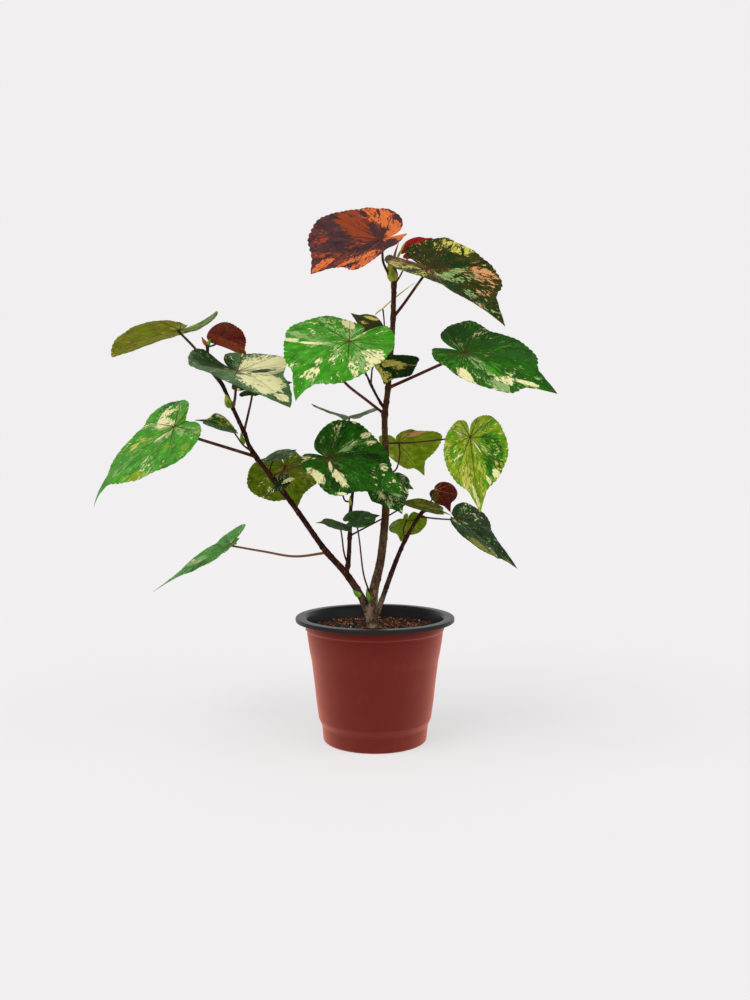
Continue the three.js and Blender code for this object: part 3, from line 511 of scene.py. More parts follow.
        ("dark", 0, [(-0.28, -0.15, 81, 0.24, 0.37, 0.85), (-0.38, -0.02, 36, 0.2, 0.14, 0.95)]),
        ("pale", 0.06, [(0.54, -0.41, 76, 0.18, 0.08, 0.3), (0.69, -0.26, 65, 0.11, 0.07, 0.3)]),
        ("cream", 0.02, [(0.01, 0.3, 54, 0.28, 0.37, 1), (0.5, -0.05, 87, 0.23, 0.27, 1),
            (0.82, 0, 11, 0.09, 0.06, 1), (-0.35, 0.1, 9, 0.1, 0.05, 0.5),
            (-0.01, -0.1, 79, 0.05, 0.18, 0.4)]),
        ("grey", 0, [(0.19, 0.16, 84, 0.23, 0.07, 0.6)]),
        ("dark", 0, [(0.2, 0.18, 63, 0.14, 0.06, 0.85), (-0.22, 0.16, -57, 0.03, 0.04, 0.8)]),
    ]),
    left_under=dict(ground="dark", layers=[
        ("yellow", 0.05, [(0.67, -0.24, 41, 0.23, 0.04, 0.7), (-0.39, 0.18, 83, 0.06, 0.03, 0.3)]),
        ("cream", 0.03, [(-0.32, 0.05, -25, 0.07, 0.11, 0.9)]),
    ]),
    left_inner=dict(ground="green_dark", layers=[
        ("dark", 0.2, [(0.8, 0.17, -42, 0.25, 0.27, 0.7)]),
        ("yellow", 0.08, [(0.25, -0.36, -34, 0.3, 0.24, 0.4), (0.63, -0.23, 57, 0.19, 0.06, 0.5)]),
        ("cream", 0.06, [(0.37, -0.5, -53, 0.14, 0.12, 0.5), (0.12, -0.37, -60, 0.16, 0.06, 0.4)]),
    ]),
    left_outer=dict(ground="green", layers=[
        ("green_dark", 0, [(-0.05, -0.62, -41, 0.12, 0.16, 0.5), (0.09, -0.34, -41, 0.14, 0.17, 0.3)]),
        ("lime", 0.15, [(0.5, 0.45, -54, 0.26, 0.08, 0.6), (0.09, 0.4, 43, 0.12, 0.18, 0.5),
            (0.01, 0.66, 6, 0.05, 0.09, 0.5)]),
        ("pale", 0.12, [(-0.08, 0.36, -77, 0.27, 0.08, 0.5), (0.14, 0.06, 16, 0.1, 0.05, 0.6),
            (0.08, -0.24, -71, 0.24, 0.1, 0.6), (0.58, 0.05, 60, 0.2, 0.15, 0.3)]),
        ("cream", 0.07, [(0.06, -0.23, -75, 0.18, 0.08, 0.7), (0.02, -0.47, -21, 0.12, 0.17, 0.5),
            (-0.16, -0.41, -63, 0.11, 0.1, 0.4), (0.14, 0.04, 0, 0.09, 0.03, 0.8),
            (0.3, 0.25, -65, 0.33, 0.09, 0.22), (-0.09, 0.57, 31, 0.07, 0.05, 0.4),
            (0.38, 0.44, -39, 0.09, 0.05, 0.3)]),
        ("yellow", 0.05, [(0.4, -0.21, -52, 0.07, 0.06, 0.5), (0.22, 0.65, -52, 0.09, 0.07, 0.4)]),
        ("moss", 0, [(0.84, 0.12, -37, 0.18, 0.02, 0.95)]),
    ]),
    left_flat=dict(ground="grey", layers=[
        ("dark", 0.3, [(-0.09, 0.14, -45, 0.32, 0.28, 0.4)]),
        ("cream", 0.03, [(0.48, -0.8, -1, 0.1, 0.06, 0.6)]),
        ("pale", 0.1, [(0.53, 0.28, -7, 0.31, 0.42, 0.3)]),
    ]),
    left_back=dict(ground="green_dark", under="lime_dark", veins="stalk", layers=[
        ("cream", 0.02, [(0.56, 0.4, -13, 0.1, 0.07, 0.5), (0.09, 0.64, 68, 0.05, 0.03, 0.4)]),
        ("moss", 0.25, [(0.62, 0.56, -56, 0.15, 0.09, 0.5)]),
        ("olive", 0.12, [(0.46, 0.02, 87, 0.18, 0.1, 0.4)]),
    ]),
    left_small=dict(ground="dark", layers=[
        ("cream", 0.02, [(0.59, -0.03, 8, 0.42, 0.16, 0.95)]),
    ]),
    left_low=dict(ground="green", layers=[
        ("green_dark", 0.3, [(0.28, -0.34, 57, 0.07, 0.1, 0.4)]),
        ("pale", 0.02, [(0.44, -0.15, -43, 0.23, 0.11, 0.4)]),
        ("cream", 0.04, [(0.56, -0.31, -44, 0.09, 0.06, 0.5), (0.37, -0.04, -28, 0.07, 0.11, 0.5)]),
        ("brown", 0, [(0.88, -0.03, 27, 0.1, 0.01, 0.95)]),
    ]),
)


def srgb(code):
    """A colour written as six hexadecimal digits, as the linear numbers that the shaders take."""
    parts = [int(code[i:i + 2], 16) / 255 for i in (0, 2, 4)]
    return tuple(part / 12.92 if part <= 0.04045 else ((part + 0.055) / 1.055) ** 2.4 for part in parts)


def colour(name, description, code):
    """A colour that the user can change."""
    return FloatVectorProperty(
        name=name, description=description, default=srgb(code), size=3, min=0, max=1, subtype="COLOR"
    )


def length(name, description, default, low=0.0, high=100.0):
    """A size in millimetres that the user can change."""
    told = description + ", in millimetres"
    return FloatProperty(name=name, description=told, default=default, min=low, max=high)


def how_many(name, description, default, low, high):
    """A number of things that the user can change."""
    return IntProperty(name=name, description=description, default=default, min=low, max=high)


def dial(name, description, default, high=1.0):
    """A share or a strength that the user can change."""
    return FloatProperty(name=name, description=description, default=default, min=0, max=high)


class PotSettings(PropertyGroup):
    """Finish of the pot."""

    clay: colour("Shell", "Red brown plastic of the shell", "5b150f")
    # The rubbed tint is also painted as highlight rings on the shell's steps.
    clay_worn_and_highlight: colour("Shell, rubbed", "Paler tone where the shell is rubbed", "7a2a20")
    black: colour("Liner", "Black plastic of the liner and the rim", "1c1a1b")
    sides: how_many("Sides", "Faces round the pot", 144, 32, 256)
    corner: length("Corner", "Radius of the rounded corners", 0.9, 0, 2)


class MixSettings(PropertyGroup):
    """Potting mix and its chips of bark."""

    ground: colour("Ground", "Fine mix between the chips", "140c08")
    dark: colour("Dark chips", "Charred and wet chips", "1e130d")
    brown: colour("Brown chips", "Most of the bark", "532d19")
    orange: colour("Orange chips", "Fresh faces of the bark", "a05f34")
    pale: colour("Pale crumbs", "Perlite and dry wood", "cfc3b0")
    chips: how_many("Chips", "Number of chips on the mix", 3600, 100, 6000)
    chip_length: length("Chip length", "Middle length of a chip", 4.2, 1, 15)


class StemSettings(PropertyGroup):
    """Bark and shoots."""

    bark: colour("Bark", "Old bark at the foot", "5f4b38")
    bark_pale: colour("Bark, pale", "Dry ridges of the old bark", "97826c")
    bark_dark: colour("Bark, dark", "Furrows of the bark", "2c2017")
    shoot: colour("Shoot", "Younger bark of the boughs", "3b1a10")
    shoot_dark: colour("Shoot, dark", "Dark side of the younger bark", "200e08")
    upper: colour("Upper trunk", "Olive brown of the trunk near the crown", "4c3a1c")
    stalk: colour("Stalk", "Leaf stalks", "481a0d")
    stalk_green: colour("Stalk, green", "Greener side of the leaf stalks", "6a5020")
    stalk_ochre: colour("Stalk, ochre", "Yellow brown stalk of the lowest leaf", "7c4a1a")
    stalk_olive: colour("Stalk, olive", "Dark olive stalks near the tips", "332a0e")
    lenticel: colour("Lenticels", "Small pale pores", "9a8264")
    relief: length("Relief", "Height of the bark's ridges at the foot", 0.32, 0, 1)
    sides: how_many("Sides", "Faces round a stem", 40, 12, 64)


class LeafSettings(PropertyGroup):
    """Blades of the leaves."""

    dark: colour("Darkest green", "Oldest green sectors", "152e0c")
    green_dark: colour("Dark green", "Deep green sectors", "1e5308")
    green: colour("Green", "Bright green sectors", "378416")
    moss_dark: colour("Dark moss", "Dull green at the crown", "2e300a")
    moss: colour("Moss", "Green turning olive", "48530c")
    olive: colour("Olive", "Yellow green of thin blades", "7d7923")
    lime: colour("Lime", "Light passing through green", "739113")
    lime_dark: colour("Dark lime", "Light passing through deep green", "58700a")
    pale: colour("Pale green", "Thin green over cream", "87a665")
    # On left_grey this grey also paints the pale sheen of glancing light.
    grey: colour("Grey green", "Dull green of old leaves", "405e37")
    cream: colour("Cream", "Sectors with no green", "dad69f")
    yellow: colour("Yellow", "Warm edge of the cream", "bcb553")
    orange: colour("Orange", "Young leaf in its bright stage", "cd6a37")
    rust: colour("Rust", "Orange under a dark veil", "873b1e")
    ember: colour("Ember", "Bright flecks of the young leaf", "ba4328")
    plum: colour("Plum", "Dark part of the young leaf", "422a2c")
    red: colour("Red", "Young leaf in its red stage", "7e180c")
    red_dark: colour("Dark red", "Young red brown leaf", "4f1308")
    brown: colour("Brown", "Dull brown of a young leaf", "53351a")
    pink: colour("Pink", "Flush on the cream", "c98f5e")
    vein: colour("Vein", "Main veins near the stalk", "482316")
    stalk: colour("Red vein", "Veins of the undersides", "753523")
    under: colour("Underside", "Fine hairs of the underside", "879163")
    gloss: dial("Gloss", "Shine of the upper side", 0.06)
    thickness: length("Thickness", "Thickness of a blade", 0.45, 0.2, 1)
    vein_depth: length("Vein depth", "Depth of the main veins on the upper side", 0.45, 0, 1)
    quilting: length("Quilting", "Height of the blade between its veins", 0.8, 0, 2)
    rings: how_many("Rings", "Rings of faces from the stalk to the margin", 22, 6, 48)
    spokes: how_many("Spokes", "Faces round a blade, an even number", 200, 60, 360)


class BudSettings(PropertyGroup):
    """Buds and bracts."""

    green: colour("Green", "Fresh bracts", "5f8f2c")
    yellow: colour("Yellow green", "Lit side of the crown bud", "b3ae3c")
    brown: colour("Orange brown", "Shaded side of the crown bud", "9c4c20")
    dark: colour("Dark", "Old dry bracts", "4b2a1a")


class StageSettings(PropertyGroup):
    """Floor, light and camera."""

    floor: colour("Floor", "Plain pale floor", "969595")
    glow: dial("Floor glow", "Light that the floor gives of its own", 0.55, 10)
    sky: colour("Surround", "Pale light from all round", "f1eff0")
    zenith: dial("Zenith", "Share of the surround's light overhead", 0.3)
    key: dial("Key light", "Strength of the main light", 1.7, 20)
    fill: dial("Fill light", "Strength of the light from the other side", 0.8, 20)
    distance: FloatProperty(
        name="Camera distance", description="From the pot's axis", default=1.077, unit="LENGTH"
    )
    eye: FloatProperty(name="Camera height", description="Above the floor", default=0.323, unit="LENGTH")
    lens: FloatProperty(
        name="Focal length", description="For the camera's 36 mm sensor", default=34.13, unit="CAMERA"
    )
    shift: FloatProperty(
        name="Shift", description="Upward shift of the view, as a share of its height", default=-0.046
    )


def unit(vectors):
    """The same directions, one unit long."""
    sizes = np.linalg.norm(vectors, axis=-1, keepdims=True)
    return vectors / np.maximum(sizes, TINY)


def spline_points(points, per_span=60):
    """Closely spaced points of the smooth line through a few points."""
    ends = np.vstack([2 * points[0] - points[1], points, 2 * points[-1] - points[-2]])
    t = np.linspace(0, 1, per_span, endpoint=False)[:, None]
    spans = []
    for a, b, c, d in zip(ends, ends[1:], ends[2:], ends[3:]):
        cubic = 2 * a - 5 * b + 4 * c - d + t * (3 * (b - c) + d - a)
        spans.append(b + 0.5 * t * (c - a + t * cubic))
    return np.vstack(spans + [points[-1:]])


class Way:
    """A smooth line through points, measured along its length."""

    # Half the share of the length that a tangent spans, and a heading that no stem or stalk has.
    SPAN = 0.004
    ASIDE = (0.31, 0.94, 0.12)

    def __init__(self, points):
        self.points = spline_points(np.array(points, float))
        steps = np.linalg.norm(np.diff(self.points, axis=0), axis=1)
        self.distance = np.concatenate([[0], np.cumsum(steps)])
        self.length = self.distance[-1]

    def at(self, share):
        """Points at shares of the length."""
        along = np.asarray(share) * self.length
        return np.stack([np.interp(along, self.distance, self.points[:, axis]) for axis in range(3)], -1)

    def share_at_height(self, height):
        """Share of the length at which the line reaches a height."""
        return np.interp(height, self.points[:, 2], self.distance) / self.length

    def frames(self, shares):
        """Two directions across the line at each share, carried along it without a twist."""
        tangents = unit(self.at(shares + self.SPAN) - self.at(shares - self.SPAN))
        across = [unit(np.cross(tangents[0], self.ASIDE))]
        for tangent in tangents[1:]:
            across.append(unit(across[-1] - tangent * (tangent @ across[-1])))
        across = np.array(across)
        return across, np.cross(tangents, across)


def quads(rings, sides):
    """Faces between rings of points, and the ring and the side of each of their corners."""
    ring, side = (part.reshape(-1, 1) for part in np.indices((rings - 1, sides)))
    corner_rings = ring + np.array([0, 0, 1, 1])
    corner_sides = side + np.array([0, 1, 1, 0])
    return corner_rings * sides + corner_sides % sides, corner_rings, corner_sides


class Net:
    """Points and faces of one piece, in millimetres, with a finish for each face."""

    def __init__(self, *maps):
        self.points = []
        self.faces = []
        self.finishes = []
        self.count = 0
        self.maps = {name: [] for name in maps}

    def add_points(self, points):
        """Adds points and returns the number of the first."""
        first = self.count
        flat = np.asarray(points, float).reshape(-1, 3)
        self.points.append(flat)
        self.count += len(flat)
        return first

    def add_faces(self, faces, finish=0, **places):
        """Adds faces, with the places of their corners on each map."""
        self.faces += [tuple(face) for face in faces.tolist()]
        self.finishes += np.broadcast_to(finish, len(faces)).tolist()
        for name, stored in self.maps.items():
            stored.append(np.asarray(places.get(name, np.zeros((*faces.shape, 2)))).reshape(-1, 2))

    def build(self, name, materials, sharp=50):
        """The piece as a mesh object at the origin."""
        mesh = bpy.data.meshes.new(name)
        mesh.from_pydata((np.concatenate(self.points) * MM).tolist(), [], self.faces)
        for material in materials:
            mesh.materials.append(material)
        mesh.polygons.foreach_set("material_index", self.finishes)
        for map_name, stored in self.maps.items():
            mesh.uv_layers.new(name=map_name).data.foreach_set("uv", np.concatenate(stored).ravel())
        mesh.shade_smooth()
        mesh.set_sharp_from_angle(angle=math.radians(sharp))
        mesh.validate()
        piece = bpy.data.objects.new(name, mesh)
        bpy.context.scene.collection.objects.link(piece)
        return piece


def place(piece, slot, *nodes):
    """Hands a finished piece to the frame, in place of the nodes it stands for."""
    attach(piece, BODY)
    if nodes:
        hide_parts(*nodes)
    return piece


def ring_faces(first, ring, centre, sides, outwards):
    """A fan of triangles that closes one ring of points round a centre."""
    side = np.arange(sides)
    start = first + ring * sides
    pair = [start + side, start + (side + 1) % sides]
    if not outwards:
        pair.reverse()
    return np.stack([np.full(sides, centre), *pair], -1)


# Places on the bake map, as shares of its sides: the whole map and a stalk's strip as left, low, right and
# high, each side of a blade as width and height, and the size of a tube's ends.
WHOLE_MAP = (0, 0, 1, 1)
BLADE_MAP = (0.49, 0.95)
STALK_MAP = (0, 0.965, 1, 1)
END_MAP = 0.001

# Room round a blade on its own map, with the midrib as 1, and how far the margin's faces reach beyond it.
MAP_MARGIN = 0.02
RIM_REACH = 1.012


def add_tube(net, way, shares, radii, finish=0, strip=WHOLE_MAP):
    """A limb along a way, closed at both ends. radii has a row for each share and a column for each side."""
    sides = radii.shape[1]
    across, beside = way.frames(shares)
    angles = np.arange(sides)[:, None] * TURN / sides
    ring = np.cos(angles) * across[:, None] + np.sin(angles) * beside[:, None]
    first = net.add_points(way.at(shares)[:, None] + radii[..., None] * ring)
    faces, rings, columns = quads(len(shares), sides)
    left, low, right, high = strip
    along = left + (right - left) * rings / (len(shares) - 1)
    round_it = low + (high - low) * columns / sides
    net.add_faces(first + faces, finish, OFBake=np.stack([along, round_it], -1))
    ends = net.add_points(way.at(np.array([shares[0], shares[-1]])))
    cap = np.tile([[left, low], [left, high], [right, high]], (sides, 1, 1)) * END_MAP + (left, low)
    last = finish if np.isscalar(finish) else 0
    net.add_faces(ring_faces(first, 0, ends, sides, False), last, OFBake=cap)
    net.add_faces(ring_faces(first, len(shares) - 1, ends + 1, sides, True), last, OFBake=cap)


def add_lathe(net, profile, sides, bump=None):
    """A turned shape. The profile runs from the axis at the bottom, out and up, and back to the axis."""
    profile = np.array(profile, float)
    angles = np.arange(sides) * TURN / sides
    wall = profile[1:-1, None, :]
    points = np.stack(
        [wall[..., 0] * np.cos(angles), wall[..., 0] * np.sin(angles), wall[..., 1] + 0 * angles], -1
    )
    if bump:
        points[..., 2] += bump(points)
    first = net.add_points(points)
    faces, _, _ = quads(len(wall), sides)
    net.add_faces(first + faces)
    ends = net.add_points([[0, 0, profile[0, 1]], [0, 0, profile[-1, 1]]])
    net.add_faces(ring_faces(first, 0, ends, sides, False))
    net.add_faces(ring_faces(first, len(wall) - 1, ends + 1, sides, True))


# Places along the curve of a rounded corner, and the most of each neighbouring line that it takes up.
CORNER_STEPS = (0, 0.33, 0.67, 1)
CORNER_PART = 0.45


def rounded(profile, radius):
    """The same profile with its corners rounded."""
    profile = np.array(profile, float)
    result = [profile[0]]
    for before, corner, after in zip(profile, profile[1:], profile[2:]):
        back, ahead = before - corner, after - corner
        cut = min(radius, np.linalg.norm(back) * CORNER_PART, np.linalg.norm(ahead) * CORNER_PART)
        start = corner + unit(back) * cut
        end = corner + unit(ahead) * cut
        for t in CORNER_STEPS:
            result.append((1 - t) ** 2 * start + 2 * t * (1 - t) * corner + t * t * end)
    return result + [profile[-1]]


class Nodes:
    """Short calls for the nodes of one material."""

    def __init__(self, name):
        self.material = bpy.data.materials.new(name)
        self.material.use_nodes = True
        self.tree = self.material.node_tree
        self.shader = self.tree.nodes["Principled BSDF"]

    def feed(self, socket, value):
        """Links a socket to a node's output, or sets it."""
        if isinstance(value, bpy.types.NodeSocket):
            self.tree.links.new(value, socket)
        elif socket.type == "RGBA" and len(value) == 3:
            socket.default_value = (*value, 1)
        else:
            socket.default_value = value

    def node(self, kind, inputs, **settings):
        """A node of a kind, with its settings and then its inputs."""
        node = self.tree.nodes.new("ShaderNode" + kind)
        for key, value in settings.items():
            setattr(node, key, value)
        for key, value in inputs.items():
            self.feed(node.inputs[key], value)
        return node

    def math(self, operation, *values):
        """One sum of the values."""
        return self.node("Math", dict(enumerate(values)), operation=operation).outputs[0]

    def vector(self, x, y, z):
        """Three numbers as one vector."""
        return self.node("CombineXYZ", {0: x, 1: y, 2: z}).outputs[0]

    def noise(self, vector, scale, detail=2.0, rough=0.5):
        """Soft noise from 0 to 1."""
        inputs = {"Vector": vector, "Scale": scale, "Detail": detail, "Roughness": rough}
        return self.node("TexNoise", inputs).outputs["Fac"]

    def smooth(self, value, low, high):
        """0 at low and 1 at high, with soft ends."""
        inputs = {"Value": value, "From Min": low, "From Max": high}
        return self.node("MapRange", inputs, interpolation_type="SMOOTHSTEP").outputs[0]

    def between(self, value, low, high):
        """The value, from 0 to 1, carried to low and high."""
        return self.math("MULTIPLY_ADD", value, high - low, low)

    def mix(self, share, first, second):
        """Two colours mixed by a share."""
        return self.node("Mix", {0: share, 6: first, 7: second}, data_type="RGBA").outputs[2]

    def tone(self, colours, amount):
        """A colour made brighter or darker by an amount round 1."""
        inputs = {0: 1.0, 6: colours, 7: self.vector(amount, amount, amount)}
        return self.node("Mix", inputs, data_type="RGBA", blend_type="MULTIPLY").outputs[2]

    def object_place(self, scale=(1, 1, 1)):
        """The place in the part's frame, stretched."""
        where = self.node("TexCoord", {}).outputs["Object"]
        return self.node("Mapping", {"Vector": where, "Scale": scale}).outputs[0]

    def finish(self, base, roughness, height=None, depth=0.2, specular=0.5):
        """Sets the shader: colour, roughness and relief of a depth in millimetres."""
        self.feed(self.shader.inputs["Base Color"], base)
        self.feed(self.shader.inputs["Roughness"], roughness)
        self.shader.inputs["Specular IOR Level"].default_value = specular
        if height is not None:
            inputs = {"Height": height, "Distance": depth * MM, "Strength": 1.0}
            self.feed(self.shader.inputs["Normal"], self.node("Bump", inputs).outputs[0])
        return self.material


# Colour and spread of the reddish sheen where the shell turns away, which stands in for the reflection of
# side lights.
SHEEN_TINT = (1, 0.33, 0.24, 1)
SHEEN_ROUGHNESS = 0.5


def plastic(name, base, worn_and_highlight, rough, grain, specular, sheen=0.0, rings=()):
    """Moulded plastic with a fine grain, flow marks, paler rubbed places and painted highlight rings at its
    steps.
    """
    n = Nodes(name)
    where = n.object_place()
    fine = n.noise(where, scale=900, detail=3)
    clouds = n.noise(n.object_place((1, 1, 2.5)), scale=14, detail=4, rough=0.6)
    scuffs = n.noise(n.object_place((1, 1, 0.12)), scale=160, detail=3, rough=0.7)
    rubbed = n.smooth(n.math("MULTIPLY_ADD", scuffs, 0.5, n.math("MULTIPLY", clouds, 0.6)), 0.56, 0.75)
    tint = n.mix(n.math("MULTIPLY", rubbed, 0.3), base, worn_and_highlight)
    tint = n.tone(tint, n.between(clouds, 0.9, 1.1))
    height = n.node("SeparateXYZ", {0: where}).outputs[2]
    # Painted highlights: thin pale rings at the heights of the shell's steps, in the second tint.
    for ring, width in rings:
        off = n.math("ABSOLUTE", n.math("SUBTRACT", height, ring * MM))
        line = n.smooth(off, width * MM, width * 0.3 * MM)
        tint = n.mix(n.math("MULTIPLY", line, n.between(scuffs, 0.0, 0.7)), tint, worn_and_highlight)
    shine = n.math("MULTIPLY_ADD", scuffs, 0.12, rough - 0.06)
    # The sheen lightens the shell's sides, standing in for the reflection of side lights.
    n.shader.inputs["Sheen Weight"].default_value = sheen
    n.shader.inputs["Sheen Tint"].default_value = SHEEN_TINT
    n.shader.inputs["Sheen Roughness"].default_value = SHEEN_ROUGHNESS
    return n.finish(tint, shine, fine, grain, specular)


def bark(name, colours, settings, low, high):
    """Bark that is old and pale below one height, young above another, and has pale pores."""
    n = Nodes(name)
    where = n.node("TexCoord", {}).outputs["Object"]
    height = n.node("SeparateXYZ", {0: where}).outputs[2]
    age = n.smooth(height, high * MM, low * MM)
    furrows = n.noise(n.object_place((1, 1, 0.28)), scale=620, detail=4, rough=0.65)
    blotches = n.noise(n.object_place((1, 1, 0.5)), scale=110, detail=3, rough=0.6)
    old = n.mix(n.smooth(furrows, 0.36, 0.62), settings.bark_dark, settings.bark)
    old = n.mix(n.smooth(blotches, 0.42, 0.62), old, settings.bark_pale)
    young = n.mix(n.smooth(blotches, 0.35, 0.65), colours[1], colours[0])
    tint = n.mix(age, young, old)
    cells = n.node("TexVoronoi", {"Vector": n.object_place((1, 1, 0.7)), "Scale": 330.0})
    pore = n.smooth(cells.outputs["Distance"], 0.22, 0.1)
    tint = n.mix(n.math("MULTIPLY", pore, 0.6), tint, settings.lenticel)
    tint = n.tone(tint, n.between(furrows, 0.6, 1.4))
    relief = n.math("MULTIPLY_ADD", pore, 0.35, furrows)
    return n.finish(tint, n.between(furrows, 0.55, 0.85), relief, depth=0.5, specular=0.1)


def stalk(name, base, green):
    """Leaf stalk of one brown, greener in places, with fine hairs' dull bloom."""
    n = Nodes(name)
    streaks = n.noise(n.object_place((1, 1, 0.4)), scale=90, detail=3, rough=0.6)
    fine = n.noise(n.object_place(), scale=1400, detail=2)
    tint = n.mix(n.smooth(streaks, 0.5, 0.75), base, green)
    tint = n.tone(tint, n.between(fine, 0.75, 1.25))
    return n.finish(tint, roughness=0.5, height=fine, depth=0.06, specular=0.1)


def chip(name, base, spread):
    """Broken bark or crumbs: a fibrous colour that varies along each chip."""
    n = Nodes(name)
    fibres = n.noise(n.object_place((1, 1, 0.5)), scale=480, detail=4, rough=0.7)
    cells = n.node("TexVoronoi", {"Vector": n.object_place(), "Scale": 260.0}).outputs["Color"]
    patches = n.node("SeparateColor", {0: cells}).outputs[0]
    tint = n.tone(base, n.between(patches, 1 - spread, 1 + spread))
    tint = n.tone(tint, n.between(fibres, 0.55, 1.45))
    return n.finish(tint, n.between(fibres, 0.6, 0.95), fibres, depth=0.4, specular=0.3)


def bract(name, base, other):
    """Bud scale with fine ribs that run to its tip."""
    n = Nodes(name)
    ribs = n.noise(n.object_place((1, 1, 0.12)), scale=1100, detail=2)
    patches = n.noise(n.object_place((1, 1, 0.6)), scale=150, detail=2)
    tint = n.mix(n.smooth(patches, 0.42, 0.62), base, other)
    tint = n.tone(tint, n.between(ribs, 0.75, 1.25))
    return n.finish(tint, roughness=0.5, height=ribs, depth=0.12, specular=0.1)


# Veins of a blade: main veins stand at even angles round the stalk, side veins at even steps along them.
# Angles are in degrees, and lengths and widths are shares of the midrib.
VEIN_STEP = 36
VEINS_EACH_SIDE = 4
VEIN_WIDTH = 0.012
VEIN_WIDTH_LEAST = 0.0035
RIB_STEP = 0.13
RIB_SLANT = 0.9
NET_SCALE = 46

# Pattern of a blade. The mottle is made of runs along the veins, of flecks and of steps from field to field,
# each as strong as its number. A spot fades between two distances, with its own edge as 1, to the level
# SPOT_END. A colour without a share has the level NOWHERE. SOFT is half the width of a colour's edge, HALO
# where and how strongly it tints what lies round it, ISLANDS the share of the blade that keeps its ground
# colour and SPECKS the strength of the pale specks. The seeds keep a blade's patterns apart.
RUNS = 0.6
FLECKS = 1.25
STEPS = 0.2
SPOT_FADE = (0.5, 1.7)
SOFT = 0.015
HALO = (-0.06, -0.02, 0.12)
SPOT_END = -0.5
NOWHERE = -1
ISLANDS = 0.19
SPECKS = 0.7
RUNS_SEED = 31
LAYER_SEED = 17
ISLANDS_SEED = 71


class BladeNodes(Nodes):
    """The nodes of one side of a blade, with the marks that its veins make in its own plane."""

    def __init__(self, name, seed):
        super().__init__(name)
        self.seed = float(seed)
        self.plane = self.node("UVMap", {}, uv_map="leaf_plane").outputs[0]
        self.x, self.y, _ = self.node("SeparateXYZ", {0: self.plane}).outputs
        self.radius = self.node("VectorMath", {0: self.plane}, operation="LENGTH").outputs["Value"]
        self.heading = self.node("VectorMath", {0: self.plane}, operation="NORMALIZE").outputs[0]
        self.mark_veins()

    def mark_veins(self):
        """Main veins, side veins and the fine net from 0 to 1, and a number for each field between them."""
        step = math.radians(VEIN_STEP)
        angle = self.math("ARCTAN2", self.y, self.x)
        sector = self.math("ROUND", self.math("DIVIDE", angle, step))
        sector = self.math("MAXIMUM", self.math("MINIMUM", sector, VEINS_EACH_SIDE), -VEINS_EACH_SIDE)
        off = self.math("MULTIPLY_ADD", sector, -step, angle)
        along = self.math("MULTIPLY", self.radius, self.math("COSINE", off))
        across = self.math("ABSOLUTE", self.math("MULTIPLY", self.radius, self.math("SINE", off)))
        narrowing = self.math("MULTIPLY_ADD", self.radius, -VEIN_WIDTH, VEIN_WIDTH)
        width = self.math("MAXIMUM", narrowing, VEIN_WIDTH_LEAST)
        self.main = self.smooth(self.math("DIVIDE", across, width), 1.0, 0.25)
        order = self.math("DIVIDE", self.math("MULTIPLY_ADD", across, -RIB_SLANT, along), RIB_STEP)
        rib = self.smooth(self.math("PINGPONG", order, 0.5), 0.05, 0.01)
        self.rib = self.math("MULTIPLY", rib, self.smooth(self.radius, 0.08, 0.2))
        inputs = {"Vector": self.plane, "Scale": NET_SCALE}
        net = self.node("TexVoronoi", inputs, feature="DISTANCE_TO_EDGE")
        self.fine = self.smooth(net.outputs["Distance"], 0.09, 0.0)
        half_sector = self.math("MULTIPLY_ADD", sector, 2.0, self.math("SIGN", off))
        self.field = self.vector(self.math("FLOOR", order), half_sector, 0.5)

    def streaks(self, turns, pace, seed, detail, rough):
        """Noise that is drawn out along the veins."""
        lift = self.vector(0.0, 0.0, self.math("MULTIPLY_ADD", self.radius, pace, seed))
        inputs = {0: self.heading, 1: (turns, turns, 0), 2: lift}
        vector = self.node("VectorMath", inputs, operation="MULTIPLY_ADD").outputs[0]
        return self.noise(vector, 1.0, detail, rough)

    def mottle(self, seed):
        """Numbers round zero that change in runs, in flecks and from field to field."""
        runs = self.streaks(turns=2.6, pace=2.3, seed=seed, detail=2, rough=0.5)
        flecks = self.streaks(turns=20.0, pace=15.0, seed=seed + 5, detail=4, rough=0.7)
        steps = self.node("TexWhiteNoise", {"Vector": self.field, "W": seed}, noise_dimensions="4D")
        value = self.math("MULTIPLY_ADD", runs, RUNS, -(RUNS + FLECKS + STEPS) / 2)
        value = self.math("MULTIPLY_ADD", flecks, FLECKS, value)
        return self.math("MULTIPLY_ADD", steps.outputs["Value"], STEPS, value)

    def cover(self, flecks, spots, seed):
        """How far a colour is above its threshold: thick in its spots, flecked round them and elsewhere."""
        best = cover_level(flecks)
        for x, y, turn, half_length, half_width, share in spots:
            inputs = {
                "Vector": self.plane, "Location": (x, y, 0), "Rotation": (0, 0, math.radians(turn)),
                "Scale": (half_length, half_width, 1),
            }
            inner = self.node("Mapping", inputs, vector_type="TEXTURE").outputs[0]
            off = self.node("VectorMath", {0: inner}, operation="LENGTH").outputs["Value"]
            inputs = {
                "Value": off, "From Min": SPOT_FADE[0], "From Max": SPOT_FADE[1],
                "To Min": cover_level(share), "To Max": SPOT_END,
            }
            level = self.node("MapRange", inputs, interpolation_type="SMOOTHSTEP").outputs[0]
            best = self.math("MAXIMUM", best, level)
        return self.math("ADD", best, self.mottle(float(seed)))


def cover_level(share):
    """What is added to the mottle so that it is above zero on a share of the blade."""
    return share / 2 - 0.25 if share > 0 else NOWHERE


